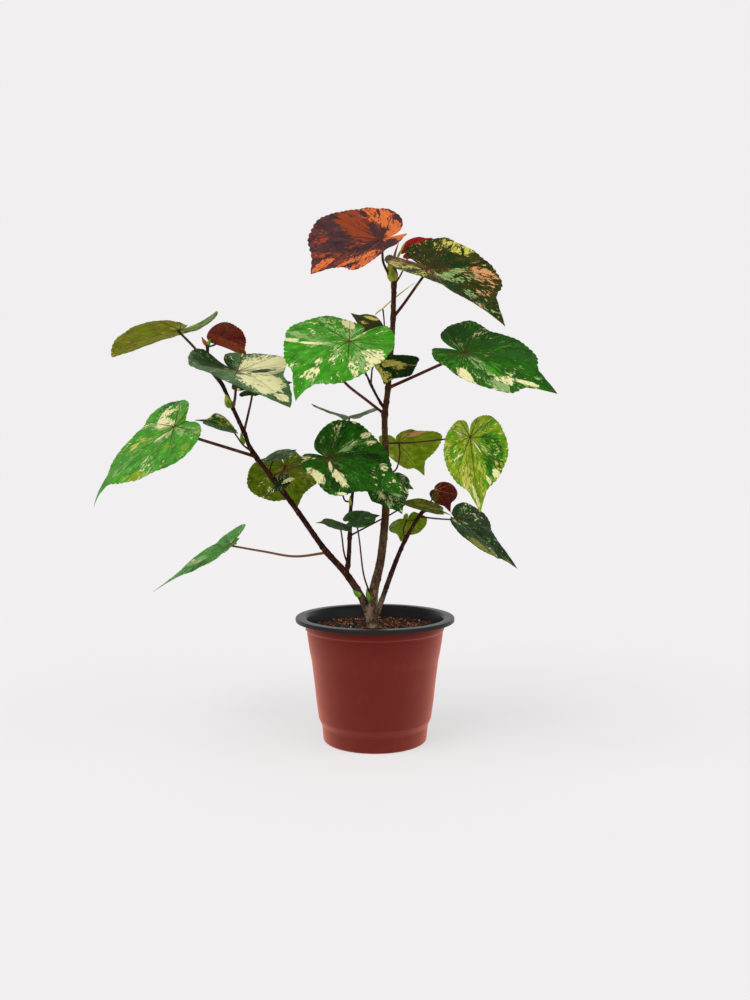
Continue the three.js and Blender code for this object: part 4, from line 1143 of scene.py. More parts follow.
def patterned(n, look, settings, seed, ground, cloud):
    """The ground of a blade with its layers of colour, the islands left in them and pale specks."""
    drawn = n.streaks(turns=7.0, pace=6.0, seed=n.seed + RUNS_SEED, detail=4, rough=0.6)
    shade = n.math("MULTIPLY", n.between(cloud, 0.3, 1.7), n.between(drawn, 0.0, 2.0))
    tint = own = n.tone(getattr(settings, ground), shade)
    halo_from, halo_to, halo = HALO
    for number, (colour_name, flecks, spots) in enumerate(look["layers"]):
        above = n.cover(flecks, spots, seed + LAYER_SEED * (number + 1))
        colours = n.tone(getattr(settings, colour_name), n.between(cloud, 0.85, 1.15))
        tint = n.mix(n.math("MULTIPLY", n.smooth(above, halo_from, halo_to), halo), tint, colours)
        tint = n.mix(n.smooth(above, -SOFT, SOFT), tint, colours)
    if look["layers"]:
        islands = n.cover(ISLANDS, [], seed + ISLANDS_SEED)
        tint = n.mix(n.smooth(islands, -SOFT, SOFT), tint, own)
    if {"cream", "pale"} & {layer[0] for layer in look["layers"]}:
        specks = n.smooth(n.noise(n.plane, scale=60, detail=2, rough=0.6), 0.66, 0.7)
        tint = n.mix(n.math("MULTIPLY", specks, SPECKS), tint, settings.pale)
    return tint


def veined(n, look, settings, tint):
    """The blade's colours with its veins and the red point where they meet."""
    vein_colour = getattr(settings, look.get("veins", "vein"))
    strong = "veins" in look
    fade = n.smooth(n.radius, 0.75, 0.05)
    main = n.math("MULTIPLY", n.main, n.between(fade, 0.45 if strong else 0.22, 0.8))
    tint = n.mix(n.math("MULTIPLY", n.rib, 0.3 if strong else 0.1), tint, vein_colour)
    tint = n.tone(tint, n.math("MULTIPLY_ADD", n.fine, -0.1, 1.03))
    return n.mix(n.math("MAXIMUM", main, n.smooth(n.radius, 0.035, 0.015)), tint, vein_colour)


def blade(name, look, settings, seed, under):
    """One side of a blade: its ground, its layers of colour and its veins."""
    n = BladeNodes(name, seed)
    cloud = n.noise(n.plane, scale=7 + seed % 3, detail=4, rough=0.6)
    speckle = n.noise(n.plane, scale=90, detail=3, rough=0.6)
    ground = look.get("under", look["ground"]) if under else look["ground"]
    tint = patterned(n, look, settings, seed, ground, cloud)
    tint = veined(n, look, settings, n.tone(tint, n.between(speckle, 0.8, 1.2)))
    if under and "under" not in look:
        tint = n.mix(0.3, tint, settings.under)
    veins = n.math("MAXIMUM", n.main, n.math("MULTIPLY", n.rib, 0.55))
    rise = n.math("MULTIPLY", veins, 1.0 if under else -1.0)
    rise = n.math("MULTIPLY_ADD", speckle, 0.3, rise)
    roughness = n.between(speckle, 0.62, 0.8) if under else n.between(cloud, 0.42, 0.58)
    gloss = settings.gloss * (0.5 if under else 1)
    return n.finish(tint, roughness, rise, depth=0.3, specular=gloss)


def halves(value):
    """A pair for the two halves of a blade, from a pair or from one number for both."""
    return np.array(value if isinstance(value, (list, tuple)) else [value, value], float)


# The usual outline of a blade: an oval round the junction, longer towards the tip, a sinus cut in at the
# stalk and a drip tip. Angles are in degrees and lengths are shares of the midrib.
OVAL = 0.59
OVAL_AHEAD = 0.16
SINUS_DEPTH = 0.89
SINUS_ANGLE = 6
DRIP_ANGLE = 16
DRIP_POWER = 1.8


def reach(degrees, body):
    """The blade's outline: distance from the junction at an angle from the tip, as a share of the midrib."""
    angle = np.abs(degrees)
    oval = OVAL + OVAL_AHEAD * np.cos(np.radians(angle))
    sinus = 1 - SINUS_DEPTH * np.exp((angle - 180) / SINUS_ANGLE)
    drip = np.maximum(0, 1 - angle / DRIP_ANGLE) ** DRIP_POWER
    return body * oval * sinus * (1 - drip) + drip


STRAIGHT = 1e-6


def arc(distance, slope, bend):
    """Way along and up at a distance on an arc that starts at a slope."""
    bend = np.where(np.abs(bend) < STRAIGHT, STRAIGHT, bend)
    end = slope + bend * distance
    return (np.sin(end) - np.sin(slope)) / bend, (np.cos(slope) - np.cos(end)) / bend


# Share of the midrib at which its hook starts.
HOOK_START = 0.6


def midrib(share, droop, hook):
    """The midrib seen from the side: along, rise and slope at a share of its length."""
    near = np.minimum(share, HOOK_START)
    past = np.maximum(share - HOOK_START, 0)
    along, rise = arc(near, 0, -droop)
    bend = -(droop + hook / (1 - HOOK_START))
    more, drop = arc(past, -droop * HOOK_START, bend)
    return along + more, rise + drop, bend * past - droop * near


def smooth_between(marks, count):
    """A smooth value between the marks of a list, at places counted in marks."""
    last = len(marks) - 1
    low = np.clip(np.floor(count).astype(int), 0, last - 1)
    a, b, c, d = (np.take(marks, np.clip(low + step, 0, last)) for step in (-1, 0, 1, 2))
    t = count - low
    return b + 0.5 * t * (c - a + t * (2 * a - 5 * b + 4 * c - d + t * (3 * (b - c) + d - a)))


class Leaf:
    """One blade and its stalk, worked out from the leaf's named sizes."""

    # Waves of the outline and of the margin's height: number round the blade and size, the midrib being 1.
    MARGIN_WAVES = ((7, 0.004), (11, 0.004), (17, 0.004))
    FRILL_WAVES = ((7, 0.003), (12, 0.003), (19, 0.002))
    TEETH = 61
    TOOTH = 0.024
    TOOTH_MIDDLE = 0.7

    # Angles from the tip, in degrees: teeth and waves fade within the first, and spokes are twice as close
    # within the second and past the third.
    TIP_SPARED = 9
    TIP_SPOKES = 16
    SINUS_SPOKES = 162

    # Width of a main vein's groove in millimetres, of the flat strip beside it with the midrib as 1, and the
    # part of the quilting that goes up and down from side vein to side vein.
    GROOVE = 0.9
    STRIP = 0.05
    FIELD_RISE = 0.4

    # Share of the thickness left out at the margin, how much shallower veins are there, and the parts of a
    # vein's depth on the upper side and on the lower one.
    MARGIN_THIN = 0.35
    VEIN_FADE = 0.6
    VEIN_ABOVE = 0.7
    VEIN_BELOW = 1.1

    # The stalk: lengths in millimetres, and swellings and taper as shares of its radius. It is wider at the
    # foot and at the knee under the blade, and narrows to TOP_SHARE at its very end.
    STALK_SIDES = 12
    STALK_STEP = 1.5
    FOOT_LENGTH = 5
    FOOT_SWELLING = 0.3
    STALK_TAPER = 0.2
    KNEE = 3
    KNEE_SWELLING = 0.18
    TOP_SHARE = 0.35
    TOP_LENGTH = 2.5
    STEPS_LEAST = 8

    # Where the stalk ends: the share from the junction to the tip, and how far under the blade.
    STALK_END = 0.03
    STALK_UNDER = 0.4

    # How far the junction's points lie over and under the blade's middle, in millimetres.
    JUNCTION = (0.2, -0.4)
    FIRST_SEED = 3

    def __init__(self, name, number):
        self.name = name
        self.sizes = {**LEAF_USUAL, **LEAVES[name]}
        self.seed = number + self.FIRST_SEED
        random = np.random.default_rng(self.seed)
        self.margin_phase = random.uniform(0, TURN, len(self.MARGIN_WAVES))
        self.frill_phase = random.uniform(0, TURN, len(self.FRILL_WAVES))
        self.set_frame()

    def set_frame(self):
        """Axes that carry the flat leaf's own frame to its place on the plant."""
        sizes = self.sizes
        self.at = np.array(sizes["at"], float)
        chord = np.array(sizes["tip"]) - self.at
        along = unit(chord)
        up = np.array(sizes["face"], float)
        self.up = unit(up - along * (along @ up))
        end_along, end_rise, _ = midrib(1, math.radians(sizes["droop"]), math.radians(sizes["hook"]))
        end = np.array([end_along, sizes["sweep"], end_rise])
        self.length = np.linalg.norm(chord) / np.linalg.norm(end)
        end = unit(end)
        lift = unit(np.array([0, 0, 1]) - end * end[2])
        own_axes = np.stack([end, np.cross(lift, end), lift])
        plant_axes = np.stack([along, np.cross(self.up, along), self.up])
        self.turn = own_axes.T @ plant_axes

    def by_half(self, key, degrees):
        """A size of the half of the blade that each angle lies in."""
        return halves(self.sizes[key])[np.where(degrees > 0, 0, 1)]

    def own_outline(self, degrees):
        """How far this leaf's outline stands from the usual one at an angle, as a ratio."""
        count = np.abs(degrees) / EDGE_STEP
        first, second = (smooth_between([1, *edge], count) for edge in self.sizes["edge"])
        return np.where(degrees > 0, first, second)

    def outline(self, degrees, share):
        """Distance from the junction of a point of the flat blade, with the margin's waves and teeth."""
        angle = np.radians(degrees)
        lobes = 1 + (self.by_half("lobes", degrees) - 1) * np.maximum(0, -np.cos(angle))
        uneven = sum(
            size * np.sin(count * angle + phase)
            for (count, size), phase in zip(self.MARGIN_WAVES, self.margin_phase)
        )
        teeth = self.TOOTH * (np.abs(np.sin(self.TEETH * angle / 2)) - self.TOOTH_MIDDLE)
        spared = 1 - np.exp(-np.abs(degrees) / self.TIP_SPARED)
        edge = 1 + share ** 5 * spared * (uneven + teeth)
        return reach(degrees, self.sizes["body"]) * share * lobes * edge * self.own_outline(degrees)

    def surface(self, degrees, share):
        """Points of the blade's middle surface at angles from the tip and shares of the way outward."""
        sizes = self.sizes
        angle = np.radians(degrees)
        distance = self.outline(degrees, share)
        out = np.abs(distance * np.sin(angle)) * self.by_half("width", degrees)
        forward = distance * np.cos(angle) + out * self.by_half("shear", degrees)
        fold = np.radians(self.by_half("fold", degrees))
        aside, raised = arc(out, fold, np.radians(self.by_half("cup", degrees)))
        frill = sum(
            size * np.sin(count * angle + phase)
            for (count, size), phase in zip(self.FRILL_WAVES, self.frill_phase)
        )
        height = raised + sizes["ripple"] * share ** 2 * np.sin(sizes["waves"] * angle) + share ** 3 * frill
        ahead = np.maximum(forward, 0)
        back = np.minimum(forward, 0)
        droop, hook, lobe = (math.radians(sizes[key]) for key in ("droop", "hook", "lobe"))
        ahead_x, ahead_z, ahead_slope = midrib(ahead, droop, hook)
        back_x, back_z = arc(back, 0, lobe)
        x = ahead_x + back_x
        z = ahead_z + back_z
        slope = ahead_slope + lobe * back
        y = np.where(degrees > 0, aside, -aside) + sizes["sweep"] * ahead ** 2
        own = np.stack([x - np.sin(slope) * height, y, z + np.cos(slope) * height], -1)
        return self.at + self.length * own @ self.turn

    def relief(self, degrees, distance):
        """Height between the veins and depth of the main veins, each from 0 to 1."""
        nearest = np.clip(np.round(degrees / VEIN_STEP), -VEINS_EACH_SIDE, VEINS_EACH_SIDE) * VEIN_STEP
        off = np.radians(degrees - nearest)
        along = distance * np.cos(off)
        across = np.abs(distance * np.sin(off))
        fields = 0.5 - 0.5 * np.cos(TURN * (along - RIB_SLANT * across) / RIB_STEP)
        beside = 1 - np.exp(-(across / self.STRIP) ** 2)
        groove = np.exp(-(across * self.length / self.GROOVE) ** 2)
        return beside * (1 - self.FIELD_RISE + self.FIELD_RISE * fields), groove

    def spoke_angles(self, spokes):
        """Angles round the blade, closer together at the tip and at the sinus."""
        even = np.arange(spokes) * 360 / spokes - 180
        close = (np.abs(even) < self.TIP_SPOKES) | (np.abs(even) > self.SINUS_SPOKES)
        return np.sort(np.concatenate([even, even[close] + 180 / spokes]))

    def add_blade(self, net, settings):
        """The blade as a thin closed shell with veins sunk above and raised below."""
        degrees = self.spoke_angles(settings.spokes)[None]
        share = (np.arange(1, settings.rings + 1) / settings.rings)[:, None]
        rings, spokes = len(share), degrees.shape[1]
        middle = self.surface(degrees, share)
        around = np.roll(middle, -1, 1) - np.roll(middle, 1, 1)
        outward = np.diff(middle, axis=0, prepend=self.surface(degrees, 0 * share[:1]))
        normal = unit(np.cross(outward, around))
        distance = self.outline(degrees, share)
        fields, groove = self.relief(degrees, distance)
        middle = middle + normal * (settings.quilting * fields * (1 - share ** 4))[..., None]
        half_thick = settings.thickness * (0.5 - self.MARGIN_THIN * share ** 8) + 0 * degrees
        depth = settings.vein_depth * groove * (1 - self.VEIN_FADE * share)
        upper = middle + normal * (half_thick - self.VEIN_ABOVE * depth)[..., None]
        lower = middle - normal * (half_thick + self.VEIN_BELOW * depth)[..., None]
        angle = np.radians(degrees)
        plane = np.stack([distance * np.cos(angle), distance * np.sin(angle)], -1)
        self.add_sides(net, upper, lower, plane, rings, spokes)

    def add_sides(self, net, upper, lower, plane, rings, spokes):
        """Faces of the upper side, the lower side and the margin between them."""
        faces, rows, columns = quads(rings, spokes)
        columns = columns % spokes
        low = plane.min((0, 1)) - MAP_MARGIN
        size = plane.max((0, 1)) + MAP_MARGIN - low
        ring = np.arange(spokes)
        following = (ring + 1) % spokes
        for side, (points, finish) in enumerate([(upper, 0), (lower, 1)]):
            first = net.add_points(points)
            centre = net.add_points(self.at + self.up * self.JUNCTION[side])
            turned = slice(None, None, -1 if side == 0 else 1)
            own = plane[rows, columns][:, turned]
            bake = (own - low) / size * BLADE_MAP + (0.5 * side, 0)
            net.add_faces(first + faces[:, turned], finish, leaf_plane=own, OFBake=bake)
            fan = ring_faces(first, 0, centre, spokes, side == 0)
            pair = [plane[0, ring], plane[0, following]]
            own = np.stack([0 * plane[0], *(pair if side == 0 else pair[::-1])], 1)
            bake = (own - low) / size * BLADE_MAP + (0.5 * side, 0)
            net.add_faces(fan, finish, leaf_plane=own, OFBake=bake)
        top = net.count - 2 - 2 * rings * spokes + (rings - 1) * spokes
        under = top + rings * spokes + 1
        edge = np.stack([top + ring, under + ring, under + following, top + following], -1)
        rim = plane[-1]
        own = np.stack([rim[ring], rim[ring], rim[following], rim[following]], 1)
        spread = own * np.array([1, RIM_REACH, RIM_REACH, 1])[:, None]
        bake = (spread - low) / size * BLADE_MAP
        net.add_faces(edge, 0, leaf_plane=own, OFBake=bake)

    def add_stalk(self, net):
        """The stalk from inside its stem to the underside of the blade."""
        stem = Way(STEMS[self.sizes["on"]]["points"])
        foot = stem.at(stem.share_at_height(self.sizes["foot"]))
        top = self.surface(np.array(0.0), np.array(self.STALK_END)) - self.STALK_UNDER * self.up
        way = Way([foot, *self.sizes["by"], top])
        shares = np.linspace(0, 1, self.STEPS_LEAST + int(way.length / self.STALK_STEP))
        gone = shares * way.length
        left = (1 - shares) * way.length
        swelling = self.FOOT_SWELLING * np.exp(-gone / self.FOOT_LENGTH)
        radius = self.sizes["stalk"] * (1 + swelling - self.STALK_TAPER * shares)
        radius = radius * (1 + self.KNEE_SWELLING * np.exp(-((left - self.KNEE) / self.KNEE) ** 2))
        radius = radius * np.minimum(1, self.TOP_SHARE + left / self.TOP_LENGTH)
        add_tube(net, way, shares, np.repeat(radius[:, None], self.STALK_SIDES, 1), 2, STALK_MAP)


# Surface of the stems, in millimetres: the height that the flare takes, the swellings where stalks leave,
# the bark's age by height, the ridges along the stem, the fine rings and the spiral of leaf scars.
FLARE_HEIGHT = 14
SWELLING = 0.5
SWELLING_LENGTH = 4
SWELLING_MOST = 0.7
YOUNG_FROM = 330
AGEING = 200
YOUNG_RELIEF = 0.25
RIDGES = 7
RIDGES_SUM = 2.6
RIDGE_TURNS = (2, 9)
RIDGE_PACES = (0.02, 0.09)
RINGS_PART = 0.25
RING_PACE = 1.9
RING_DRIFT = 2
DRIFT_PACE = 0.23
SCARS_FROM = 9
SCARS_TO_TIP = 6
SCAR_STEP = 15.5
SCAR_TURN = 2.4
SCAR_HEIGHT = 0.55
SCAR_LENGTH = 1.7
SCAR_WIDTH = 0.75
SCAR_RING = 0.22
SCAR_RING_AFTER = 1
SCAR_RING_LENGTH = 1.1
STEM_SEED = 100
STEM_STEP = 0.7
STEM_END = 0.3
STEM_END_LENGTH = 1.5


def stem_radius(stem, way, shares):
    """Radius along a stem: its taper, the flare at its foot and swellings where leaf stalks leave it."""
    height = way.at(shares)[:, 2]
    foot, tip = stem["radius"]
    taper = tip + (foot - tip) * (1 - shares) ** stem["fall"]
    flare = stem.get("flare", 0) * np.exp((SOIL_TOP - height) / FLARE_HEIGHT)
    swelling = 0 * height
    for leaf in LEAVES.values():
        if STEMS[leaf["on"]] is stem:
            swelling += SWELLING * np.exp(-(((height - leaf["foot"]) / SWELLING_LENGTH) ** 2))
    return taper + flare + np.minimum(swelling, SWELLING_MOST)


def bark_relief(way, shares, angles, settings, random):
    """Ridges along a stem, old leaf scars round it and fine rings, in millimetres."""
    along = shares[:, None] * way.length
    old = np.clip((YOUNG_FROM - way.at(shares)[:, 2]) / AGEING, YOUNG_RELIEF, 1)[:, None]
    ridges = 0 * angles * along
    for _ in range(RIDGES):
        turns = random.integers(*RIDGE_TURNS)
        pace = random.uniform(*RIDGE_PACES) * random.choice([-1, 1])
        ridges += np.sin(turns * angles + pace * along + random.uniform(0, TURN))
    rings = np.sin(along * RING_PACE + RING_DRIFT * np.sin(along * DRIFT_PACE)) * RINGS_PART
    result = settings.relief * old * (ridges / RIDGES_SUM + rings)
    turn = random.uniform(0, TURN)
    for scar in np.arange(SCARS_FROM, way.length - SCARS_TO_TIP, SCAR_STEP):
        turn += SCAR_TURN
        off = (angles - turn + math.pi) % TURN - math.pi
        result += SCAR_HEIGHT * np.exp(-((along - scar) / SCAR_LENGTH) ** 2 - (off / SCAR_WIDTH) ** 2)
        past = along - scar - SCAR_RING_AFTER
        result += SCAR_RING * np.exp(-(past / SCAR_RING_LENGTH) ** 2)
    return result


def add_stem(net, name, settings, number):
    """One stem with its bark's relief."""
    stem = STEMS[name]
    way = Way(stem["points"])
    random = np.random.default_rng(STEM_SEED + number)
    shares = np.linspace(0, 1, int(way.length / STEM_STEP))
    angles = np.arange(settings.sides)[None] * TURN / settings.sides
    radii = stem_radius(stem, way, shares)[:, None] + bark_relief(way, shares, angles, settings, random)
    end = 1 if stem.get("blunt") else STEM_END
    ends = np.minimum(1, end + (1 - shares) * way.length / STEM_END_LENGTH)[:, None]
    add_tube(net, way, shares, radii * ends)


# Buds and bracts: sides and steps of a small one and of the crown bud, bow of the axis, radius at the ends
# in millimetres, power that brings the widest place near the foot, size and sides of a rib, and the step
# where a scale overlaps the next, with its turn from end to end.
BRACT_SIDES = (24, 60)
BRACT_STEPS = (24, 44)
BRACT_BOW = 0.05
BRACT_POINT = 0.25
BRACT_FULLNESS = 0.6
RIB_SIZE = 0.03
RIB_SIDES = 4
SCALE_STEP = 0.16
SCALE_TURN = 2.2


def add_bract(net, item, finishes):
    """A bud or bract: a ribbed spindle, or for a bud of two finishes two scales that overlap."""
    foot, tip = np.array(item["foot"], float), np.array(item["tip"], float)
    reach_along = np.linalg.norm(tip - foot)
    bow = unit(np.cross(tip - foot, (0, 1, 0))) * reach_along * BRACT_BOW
    way = Way([foot, (foot + tip) / 2 + bow, tip])
    big = len(finishes) > 1
    sides = BRACT_SIDES[big]
    shares = np.linspace(0, 1, BRACT_STEPS[big])
    angles = np.arange(sides)[None] * TURN / sides
    radius = BRACT_POINT + item["wide"] / 2 * np.sin(math.pi * shares ** BRACT_FULLNESS)
    ribs = 1 + RIB_SIZE * np.cos(angles * (sides // RIB_SIDES))
    half_turns = (angles + SCALE_TURN * shares[:, None]) / math.pi
    scale_step = 1 - SCALE_STEP * (half_turns % 1) * (1 if big else 0.5)
    radii = radius[:, None] * ribs * scale_step
    finish = finishes[0]
    # On the crown bud, the two finishes paint its lit side and its shaded side.
    if big:
        finish = np.where(half_turns[:-1] % 2 < 1, finishes[0], finishes[1]).ravel()
    add_tube(net, way, shares, radii, finish)


class HIBISCUS_OT_pot(Operator):
    """Builds the pot's shell and its black liner with the rim."""

    bl_idname = "hibiscus.pot"
    bl_label = "Pot"

    def execute(self, context):
        settings = context.scene.hibiscus_pot
        shell = plastic(
            "shell plastic", settings.clay, settings.clay_worn_and_highlight,
            rough=0.42, grain=0.05, specular=0.06, sheen=1, rings=PAINTED_HIGHLIGHT_RINGS,
        )
        place(self.drained(self.shell_net(settings), "shell", shell), "pot_clay", "pot_shell")
        liner = plastic(
            "liner plastic", settings.black, settings.black, rough=0.34, grain=0.08, specular=0.14
        )
        place(self.drained(self.liner_net(settings), "liner", liner), "pot_black", "pot_liner")
        return {"FINISHED"}

    def inside(self, distance, floor):
        """The shell's inner side moved inward and cut level at the floor."""
        return [(radius - distance, max(height, floor)) for radius, height in POT_INSIDE]

    def shell_net(self, settings):
        """The shell with its foot, its two steps and the collar under the rim."""
        top = POT_HEIGHT - RIM_THICKNESS - GAP
        outer = [(0, 0), *POT_OUTSIDE, (NECK_RADIUS, top)]
        inner = [(NECK_RADIUS - WALL, top), *reversed(self.inside(0, FLOOR)), (0, FLOOR)]
        net = Net()
        add_lathe(net, rounded(outer + inner, settings.corner), settings.sides)
        return net

    def liner_net(self, settings):
        """The liner's skin and the rolled rim that lies over the shell."""
        floor = FLOOR + GAP
        under = POT_HEIGHT - RIM_THICKNESS
        lip = POT_HEIGHT - RIM_LIP
        neck = NECK_RADIUS - WALL - GAP
        outer = [(0, floor), *self.inside(GAP, floor), (neck, under)]
        rim = [
            (RIM_RADIUS - LIP_THICKNESS, under), (RIM_RADIUS - LIP_THICKNESS, lip), (RIM_RADIUS, lip),
            (RIM_RADIUS, POT_HEIGHT - RIM_ROUND), (RIM_RADIUS - RIM_ROUND, POT_HEIGHT),
            (RIM_RADIUS - RIM_WIDTH, POT_HEIGHT), (neck - LINER_SKIN, POT_HEIGHT - RIM_STEP),
        ]
        inner = [*reversed(self.inside(GAP + LINER_SKIN, floor + LINER_SKIN)), (0, floor + LINER_SKIN)]
        net = Net()
        add_lathe(net, rounded(outer + rim + inner, settings.corner), settings.sides)
        return net

    def drained(self, net, name, material):
        """The turned piece with its drain holes cut through the floor."""
        piece = net.build(name, [material], sharp=35)
        holes = Net()
        for number in range(DRAIN_HOLES):
            angle = (number + 0.5) * TURN / DRAIN_HOLES
            centre = [DRAIN_CIRCLE * math.cos(angle), DRAIN_CIRCLE * math.sin(angle)]
            way = Way([[*centre, height] for height in DRAIN_CUT])
            add_tube(holes, way, np.array([0, 0.5, 1]), np.full((3, DRAIN_SIDES), float(DRAIN_RADIUS)))
        cutter = holes.build("holes", [])
        cut = piece.modifiers.new("drain", "BOOLEAN")
        cut.operation = "DIFFERENCE"
        cut.solver = "EXACT"
        cut.object = cutter
        evaluated = piece.evaluated_get(bpy.context.evaluated_depsgraph_get())
        drained = bpy.data.meshes.new_from_object(evaluated)
        piece.modifiers.clear()
        piece.data = drained
        bpy.data.objects.remove(cutter)
        return piece


# The mix, in millimetres: where its flat top ends and how far it lies under the chips, its humps with the
# height that they start at, the chips' kinds with their shares, and how small the pale crumbs are.
MIX_SEED = 7
MIX_RADIUS = 71
MIX_STEP = 3
UNDER_CHIPS = 1.4
HUMPS = 8
HUMP_PACES = (0.12, 0.6)
HUMP_HEIGHT = 0.45
HUMPS_FROM = SOIL_TOP - 3
CHIPS_RADIUS = 75
CHIP_PARTS = {"dark": 0.46, "brown": 0.33, "orange": 0.15, "pale": 0.06}
CHIP_CORNERS = 6
CRUMB_SIZE = 0.55

# A chip's shape, as spreads and ranges. Width and thickness are shares of the length, heights of corners are
# shares of the thickness, and the depth of the middle is in millimetres.
CHIP_SPREAD = 0.3
CORNER_TURNS = (-0.3, 0.3)
CORNER_REACH = (0.75, 1.1)
CHIP_WIDTH = (0.22, 0.4)
CHIP_THICKNESS = (0.12, 0.3)
CHIP_UNDER = (-0.5, -0.3)
CHIP_OVER = (0.3, 0.5)
CHIP_NARROWER = (0.7, 0.9)
CHIP_TILT = 0.38
CHIP_DEPTH = (0.2, 1.6)


class HIBISCUS_OT_mix(Operator):
    """Fills the pot with potting mix and strews chips of bark on it."""

    bl_idname = "hibiscus.potting_mix"
    bl_label = "Potting mix"

    def execute(self, context):
        settings = context.scene.hibiscus_mix
        random = np.random.default_rng(MIX_SEED)
        ground = chip("fine mix", settings.ground, spread=0.3)
        place(self.body(context, random).build("mix", [ground], sharp=70), "potting_mix", "potting_mix")
        for kind, part in CHIP_PARTS.items():
            small = CRUMB_SIZE if kind == "pale" else 1
            net = self.chips(int(settings.chips * part), settings.chip_length * small, random)
            finish = chip("chips " + kind, getattr(settings, kind), spread=0.8)
            place(net.build("chips_" + kind, [finish], sharp=20), "potting_mix")
        return {"FINISHED"}

    def body(self, context, random):
        """The fill of the pot, with an uneven top."""
        inset = LINER_SKIN + 2 * GAP
        floor = FLOOR + inset
        side = [(radius - inset, max(height, floor)) for radius, height in POT_INSIDE]
        top = [(radius, SOIL_TOP - UNDER_CHIPS) for radius in range(MIX_RADIUS, 0, -MIX_STEP)]
        phases = random.uniform(0, TURN, (HUMPS, 2))
        pace = random.uniform(*HUMP_PACES, (HUMPS, 2))

        def uneven(points):
            waves = sum(
                np.sin(points[..., 0] * a + p) * np.sin(points[..., 1] * b + q)
                for (a, b), (p, q) in zip(pace, phases)
            )
            return np.where(points[..., 2] > HUMPS_FROM, HUMP_HEIGHT * waves, 0)

        net = Net()
        profile = [(0, floor), *side, *top, (0, SOIL_TOP - 1)]
        add_lathe(net, profile, context.scene.hibiscus_pot.sides, uneven)
        return net

    def chips(self, count, size, random):
        """Flat broken chips with six uneven sides, strewn at random."""
        radius = CHIPS_RADIUS * np.sqrt(random.uniform(0, 1, count))
        turn = random.uniform(0, TURN, count)
        centre = np.stack([radius * np.cos(turn), radius * np.sin(turn)], -1)
        net = Net()
        for x, y in centre:
            self.add_chip(net, x, y, size * random.lognormal(0, CHIP_SPREAD), random)
        return net

    def add_chip(self, net, x, y, size, random):
        """One chip, tilted and turned."""
        corners = np.arange(CHIP_CORNERS)
        angles = corners * TURN / CHIP_CORNERS + random.uniform(*CORNER_TURNS, CHIP_CORNERS)
        narrow = random.uniform(*CHIP_WIDTH)
        rim = np.stack([np.cos(angles) * size / 2, np.sin(angles) * size * narrow], -1)
        rim *= random.uniform(*CORNER_REACH, (CHIP_CORNERS, 1))
        thick = size * random.uniform(*CHIP_THICKNESS)
        low = np.column_stack([rim, random.uniform(*CHIP_UNDER, CHIP_CORNERS) * thick])
        upper = rim * random.uniform(*CHIP_NARROWER)
        high = np.column_stack([upper, random.uniform(*CHIP_OVER, CHIP_CORNERS) * thick])
        tilt = random.normal(0, CHIP_TILT, 2)
        heading = random.uniform(0, TURN)
        turned = np.vstack([low, high]) @ self.rotation(*tilt, heading).T
        first = net.add_points(turned + [x, y, SOIL_TOP - random.uniform(*CHIP_DEPTH)])
        following = (corners + 1) % CHIP_CORNERS
        walls = np.stack([corners, following, following + CHIP_CORNERS, corners + CHIP_CORNERS], -1)
        net.add_faces(first + walls)
        net.add_faces(first + np.stack([corners[::-1], corners + CHIP_CORNERS]))

    def rotation(self, pitch, roll, heading):
        """A turn about X, then Y, then Z."""
        cx, sx, cy, sy = math.cos(pitch), math.sin(pitch), math.cos(roll), math.sin(roll)
        cz, sz = math.cos(heading), math.sin(heading)
        about_x = np.array([[1, 0, 0], [0, cx, -sx], [0, sx, cx]])
        about_y = np.array([[cy, 0, sy], [0, 1, 0], [-sy, 0, cy]])
        about_z = np.array([[cz, -sz, 0], [sz, cz, 0], [0, 0, 1]])
        return about_z @ about_y @ about_x


class HIBISCUS_OT_stems(Operator):
    """Grows the trunk, the boughs and the shoots, with their buds and bracts."""

    bl_idname = "hibiscus.stems"
    bl_label = "Stems"

    def execute(self, context):
        settings = context.scene.hibiscus_stems
        buds = context.scene.hibiscus_buds
        old = bark("bark", (settings.upper, settings.shoot), settings, low=130, high=250)
        young = bark("young bark", (settings.shoot, settings.shoot_dark), settings, low=120, high=190)
        scales = [
            bract("green bract", buds.green, buds.yellow),
            bract("yellow bract", buds.yellow, buds.green),
            bract("brown bract", buds.brown, buds.dark),
            bract("dark bract", buds.dark, buds.brown),
        ]
        for number, (name, stem) in enumerate(STEMS.items()):
            net = Net("OFBake")
            add_stem(net, name, settings, number)
            bare = name == "trunk"
            piece = net.build(name + "_bark", [old if bare else young], sharp=60)
            place(piece, stem["colour"], name)
            if stem["bracts"]:
                self.add_buds(name, stem, scales)
        return {"FINISHED"}

    def add_buds(self, name, stem, scales):
        """The buds and bracts of one stem, as a piece of their own."""
        net = Net("OFBake")
        for number, item in enumerate(stem["bracts"]):
            add_bract(net, item, BRACT_LOOKS[name][number])
        place(net.build(name + "_buds", scales, sharp=40), "shoot")


class HIBISCUS_OT_leaves(Operator):
    """Grows the leaves, each with its own blade, veins, patches and stalk."""

    bl_idname = "hibiscus.leaves"
    bl_label = "Leaves"

    def execute(self, context):
        settings = context.scene.hibiscus_leaves
        stems = context.scene.hibiscus_stems
        stalks = {
            kind: stalk(kind + " of a leaf", getattr(stems, kind), stems.stalk_green)
            for kind in ("stalk", "stalk_ochre", "stalk_olive")
        }
        for number, name in enumerate(LEAVES):
            leaf = Leaf(name, number)
            look = LEAF_LOOKS[name]
            upper = blade(name + " upper side", look, settings, leaf.seed, False)
            under = blade(name + " underside", look, settings, leaf.seed, True)
            net = Net("leaf_plane", "OFBake")
            leaf.add_blade(net, settings)
            leaf.add_stalk(net)
            stalk_look = stalks[STALK_LOOKS.get(name, "stalk")]
            piece = net.build("blade_" + name, [upper, under, stalk_look], sharp=60)
            place(piece, "leaf_" + LEAVES[name]["colour"], "leaf_" + name)
        return {"FINISHED"}


